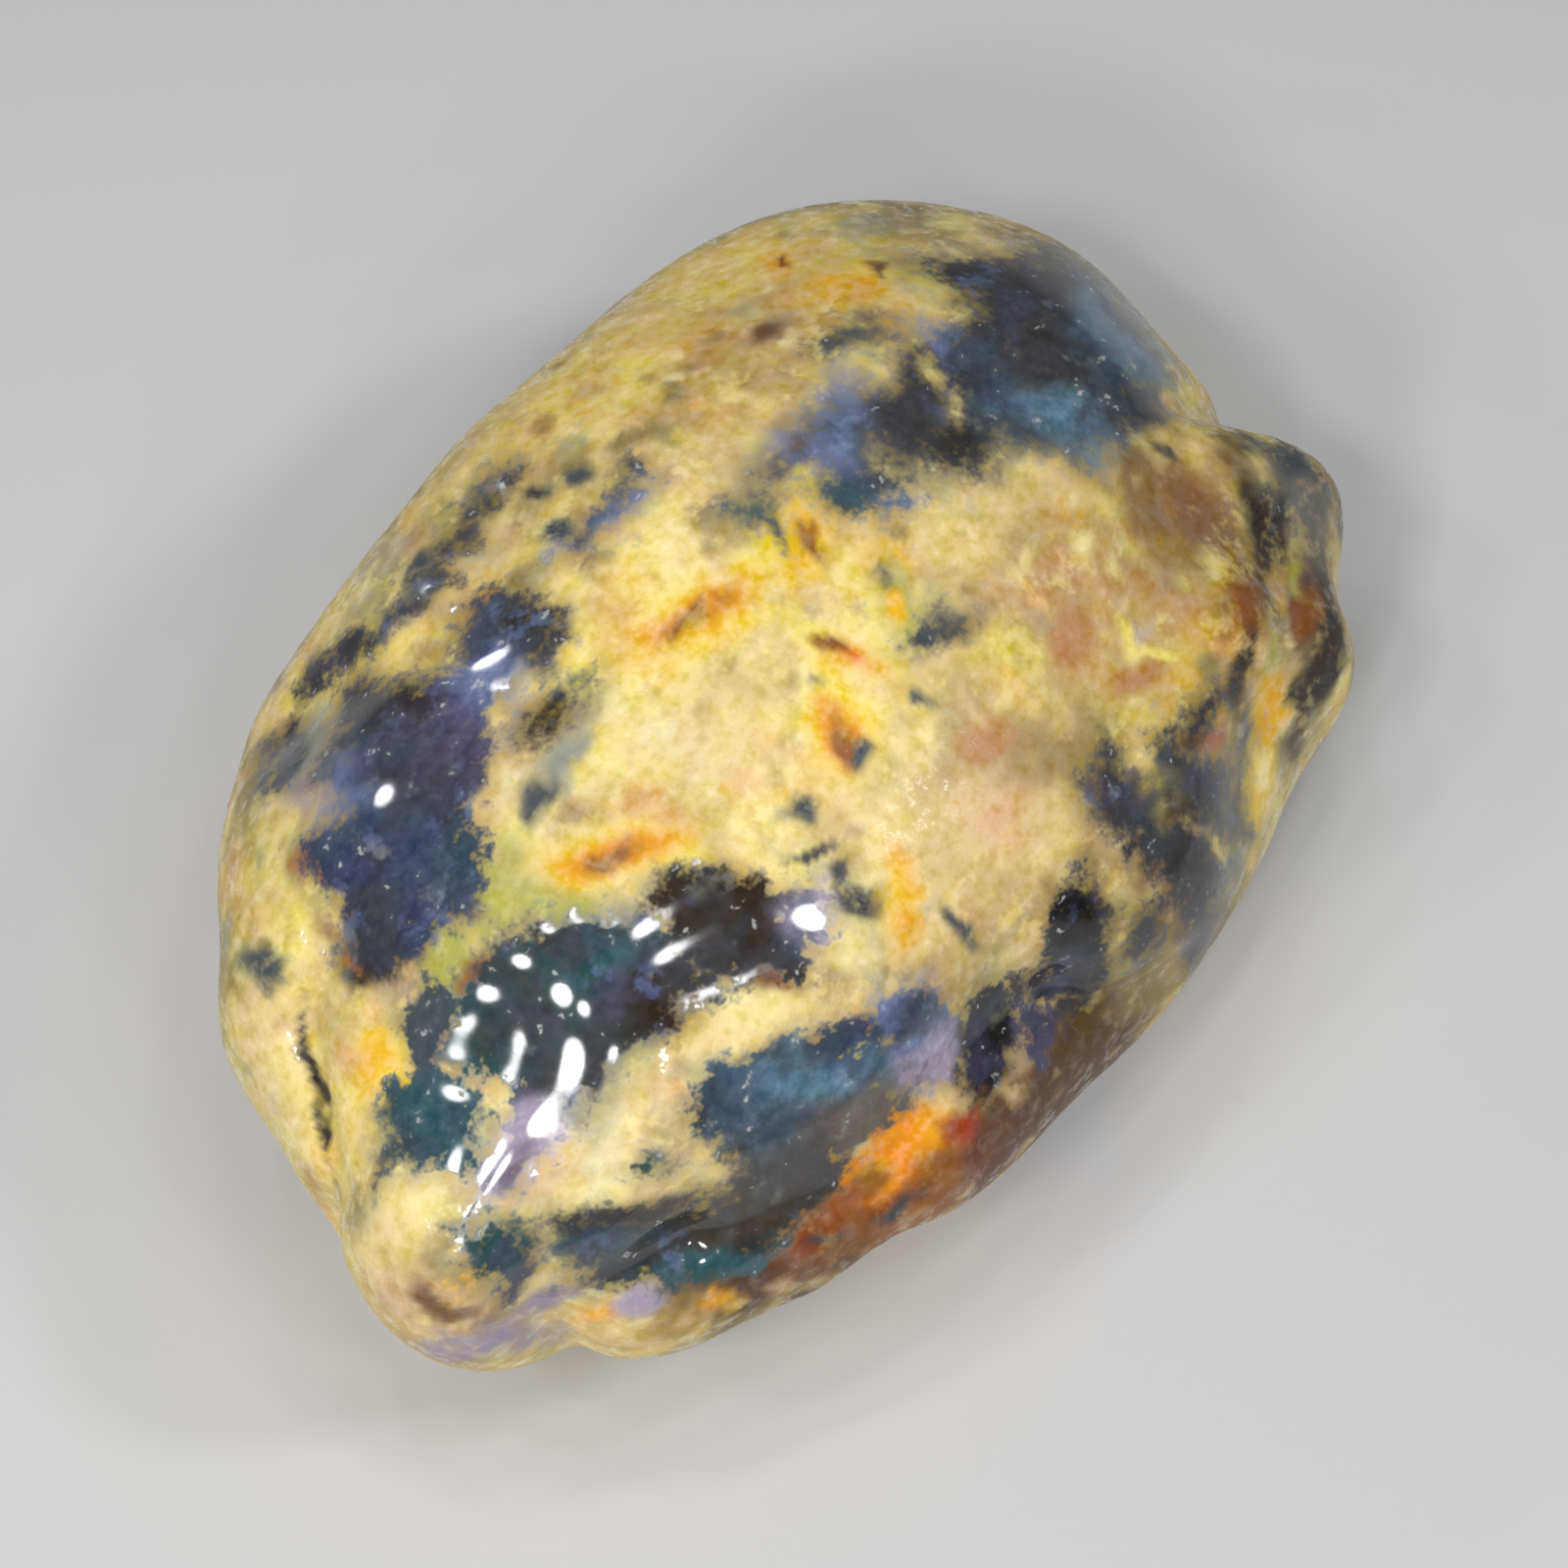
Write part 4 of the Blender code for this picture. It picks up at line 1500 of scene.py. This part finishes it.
class AMBER_OT_add_nodule(bpy.types.Operator):
    """Adds the amber nodule, with its crust, windows and stains"""

    bl_idname = "amber.add_nodule"
    bl_label = "Add amber nodule"
    bl_options = {"REGISTER", "UNDO"}

    def execute(self, context):
        scene = context.scene
        surface = scene.amber_surface
        palette = {name: np.array(getattr(scene.amber_colours, name)) for name in COLOURS}
        grid = cube_grid(MESH_DIVISIONS)
        view = photo_view()
        points = nodule_form(grid.directions)
        stone = Stone(points, vertex_normals(points, grid.faces), *seen(points, view))
        grain = cloud(points, GRAIN_SIZE, GRAIN_SEED)
        layers = finish_layers(stone, all_spots(stone, view), grain, view, palette)

        # The crust's grain, none in the windows or where the stone rests
        raised = 1.0 - smooth_step(layers["window_field"], *GRAIN_END)
        raised *= smooth_step(points[:, 2], *GRAIN_START)
        finished = points + (surface.grain_height / MM * grain * raised)[:, None] * stone.normals
        finished[:, 2] = finished[:, 2].clip(0.0)

        mesh = bpy.data.meshes.new("amber_surface")
        mesh.from_pydata(finished * MM, [], grid.faces.tolist())
        mesh.shade_smooth()
        layer = mesh.uv_layers.new(name="OFBake")
        layer.data.foreach_set("uv", grid.uvs.astype(np.float32).ravel())
        for name, values in layers.items():
            add_attribute(mesh, name, values)
        groups = ragged_edge_group(), mottle_group()
        mesh.materials.append(crust_material(surface, groups))
        mesh.materials.append(window_material(surface, groups))
        clear = layers["window_field"][grid.faces].min(axis=1) > CLEAR_DEPTH
        mesh.polygons.foreach_set("material_index", clear.astype(np.int32))
        nodule = bpy.data.objects.new("amber_surface", mesh)
        scene.collection.objects.link(nodule)
        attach(nodule, "root")
        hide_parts(NODE)
        return {"FINISHED"}


def lamp_facing(scene, name, size, power, place, aim):
    """A round light of that width at a place, facing the aim."""
    light = bpy.data.lights.new(name, "AREA")
    light.shape = "DISK"
    light.size = size * MM
    light.energy = power
    lamp = bpy.data.objects.new(name, light)
    lamp.location = place * MM
    lamp.rotation_euler = Vector(place - aim).to_track_quat("Z", "Y").to_euler()
    scene.collection.objects.link(lamp)


def direction_at(azimuth, elevation):
    """Unit direction from the stone to a place at that azimuth and elevation, as the camera counts them."""
    turn, climb = math.radians(azimuth), math.radians(elevation)
    return np.array(
        [
            math.sin(turn) * math.cos(climb),
            -math.cos(turn) * math.cos(climb),
            math.sin(climb),
        ]
    )


def mirrored_lights(scene, nodule, power):
    """Small lights, each where the stone's smooth surface mirrors it to the camera at its pixel. A
    direction is turned about the normal, and the light stands that way, a little beyond the camera. All of
    them are equally bright, so a wider one has more power."""
    mesh = nodule.data
    points = np.empty(len(mesh.vertices) * 3, np.float32)
    normals = np.empty_like(points)
    mesh.vertices.foreach_get("co", points)
    mesh.vertices.foreach_get("normal", normals)
    points, normals = points.reshape(-1, 3) / MM, normals.reshape(-1, 3)
    view = photo_view()
    pixels, depths = seen(points, view)
    front = normals @ view.back > 0.0
    points, normals, pixels = points[front], normals[front], pixels[front]
    for number, (pixel, scale) in enumerate(HIGHLIGHTS):
        miss = np.linalg.norm(pixels - pixel, axis=1) * depths[front] / view.focal
        near = bell(miss, MIRROR_REACH)[:, None]
        place, normal = (near * points).sum(0) / near.sum(), unit((near * normals).sum(0))
        to_camera = unit(view.place - place)
        back = 2 * (to_camera @ normal) * normal - to_camera
        name = f"small_light_{number:02d}"
        lamp_place = place + back * LIGHT_DISTANCE
        lamp_facing(scene, name, SMALL_LIGHT * scale, power * scale**2, lamp_place, place)


def floor_material(tone):
    """A plain pale matte floor."""
    material, shader = new_material("pale_floor")
    shader.inputs["Base Color"].default_value = (tone, tone, tone * FLOOR_BLUE, 1.0)
    shader.inputs["Roughness"].default_value = FLOOR_ROUGHNESS
    return material


class AMBER_OT_add_stage(bpy.types.Operator):
    """Adds the pale floor, the soft lights and the camera"""

    bl_idname = "amber.add_stage"
    bl_label = "Add floor, lights and camera"
    bl_options = {"REGISTER", "UNDO"}

    def execute(self, context):
        scene = context.scene
        stage = scene.amber_stage
        reach = FLOOR_REACH * MM
        mesh = bpy.data.meshes.new("floor")
        corners = [(-reach, -reach, 0), (reach, -reach, 0), (reach, reach, 0), (-reach, reach, 0)]
        mesh.from_pydata(corners, [], [(0, 1, 2, 3)])
        mesh.materials.append(floor_material(stage.floor_tone))
        floor = bpy.data.objects.new("floor", mesh)
        scene.collection.objects.link(floor)

        aim = np.array(VIEW_AIM)
        key = aim + KEY_DISTANCE * direction_at(VIEW_AZIMUTH + KEY_TURN, KEY_CLIMB)
        lamp_facing(scene, "key", KEY_SIZE, stage.key_power, key, aim)
        mirrored_lights(scene, scene.objects["amber_surface"], stage.ring_power)

        world = bpy.data.worlds.new("studio")
        world.use_nodes = True
        ground = world.node_tree.nodes["Background"]
        ground.inputs["Color"].default_value = SKY_COLOUR
        ground.inputs["Strength"].default_value = stage.sky_strength
        scene.world = world

        view = photo_view()
        camera = bpy.data.cameras.new("camera")
        camera.lens = VIEW_LENS
        camera.sensor_width = SENSOR
        camera.clip_start = 0.01
        camera.clip_end = 10.0
        holder = bpy.data.objects.new("camera", camera)
        holder.location = Vector(view.place) * MM
        holder.rotation_euler = Vector(view.back).to_track_quat("Z", "Y").to_euler()
        scene.collection.objects.link(holder)
        scene.camera = holder
        scene.view_settings.view_transform = "Standard"
        return {"FINISHED"}


class AMBER_PT_panel(bpy.types.Panel):
    """Lists the pieces and their settings"""

    bl_idname = "AMBER_PT_panel"
    bl_label = "Rough amber"
    bl_space_type = "VIEW_3D"
    bl_region_type = "UI"
    bl_category = "Amber"

    def draw(self, context):
        layout = self.layout
        layout.operator(AMBER_OT_add_nodule.bl_idname)
        layout.operator(AMBER_OT_add_stage.bl_idname)
        for group in (context.scene.amber_surface, context.scene.amber_stage, context.scene.amber_colours):
            column = layout.column()
            for name in group.__annotations__:
                column.prop(group, name)


CLASSES = (
    AmberColours,
    AmberSurface,
    AmberStage,
    AMBER_OT_add_nodule,
    AMBER_OT_add_stage,
    AMBER_PT_panel,
)


def register():
    for cls in CLASSES:
        bpy.utils.register_class(cls)
    bpy.types.Scene.amber_colours = PointerProperty(type=AmberColours)
    bpy.types.Scene.amber_surface = PointerProperty(type=AmberSurface)
    bpy.types.Scene.amber_stage = PointerProperty(type=AmberStage)


def unregister():
    del bpy.types.Scene.amber_stage
    del bpy.types.Scene.amber_surface
    del bpy.types.Scene.amber_colours
    for cls in reversed(CLASSES):
        bpy.utils.unregister_class(cls)


def main():
    """Makes the pieces and the stage."""
    register()
    bpy.ops.amber.add_nodule()
    bpy.ops.amber.add_stage()


if __name__ == "__main__":
    main()
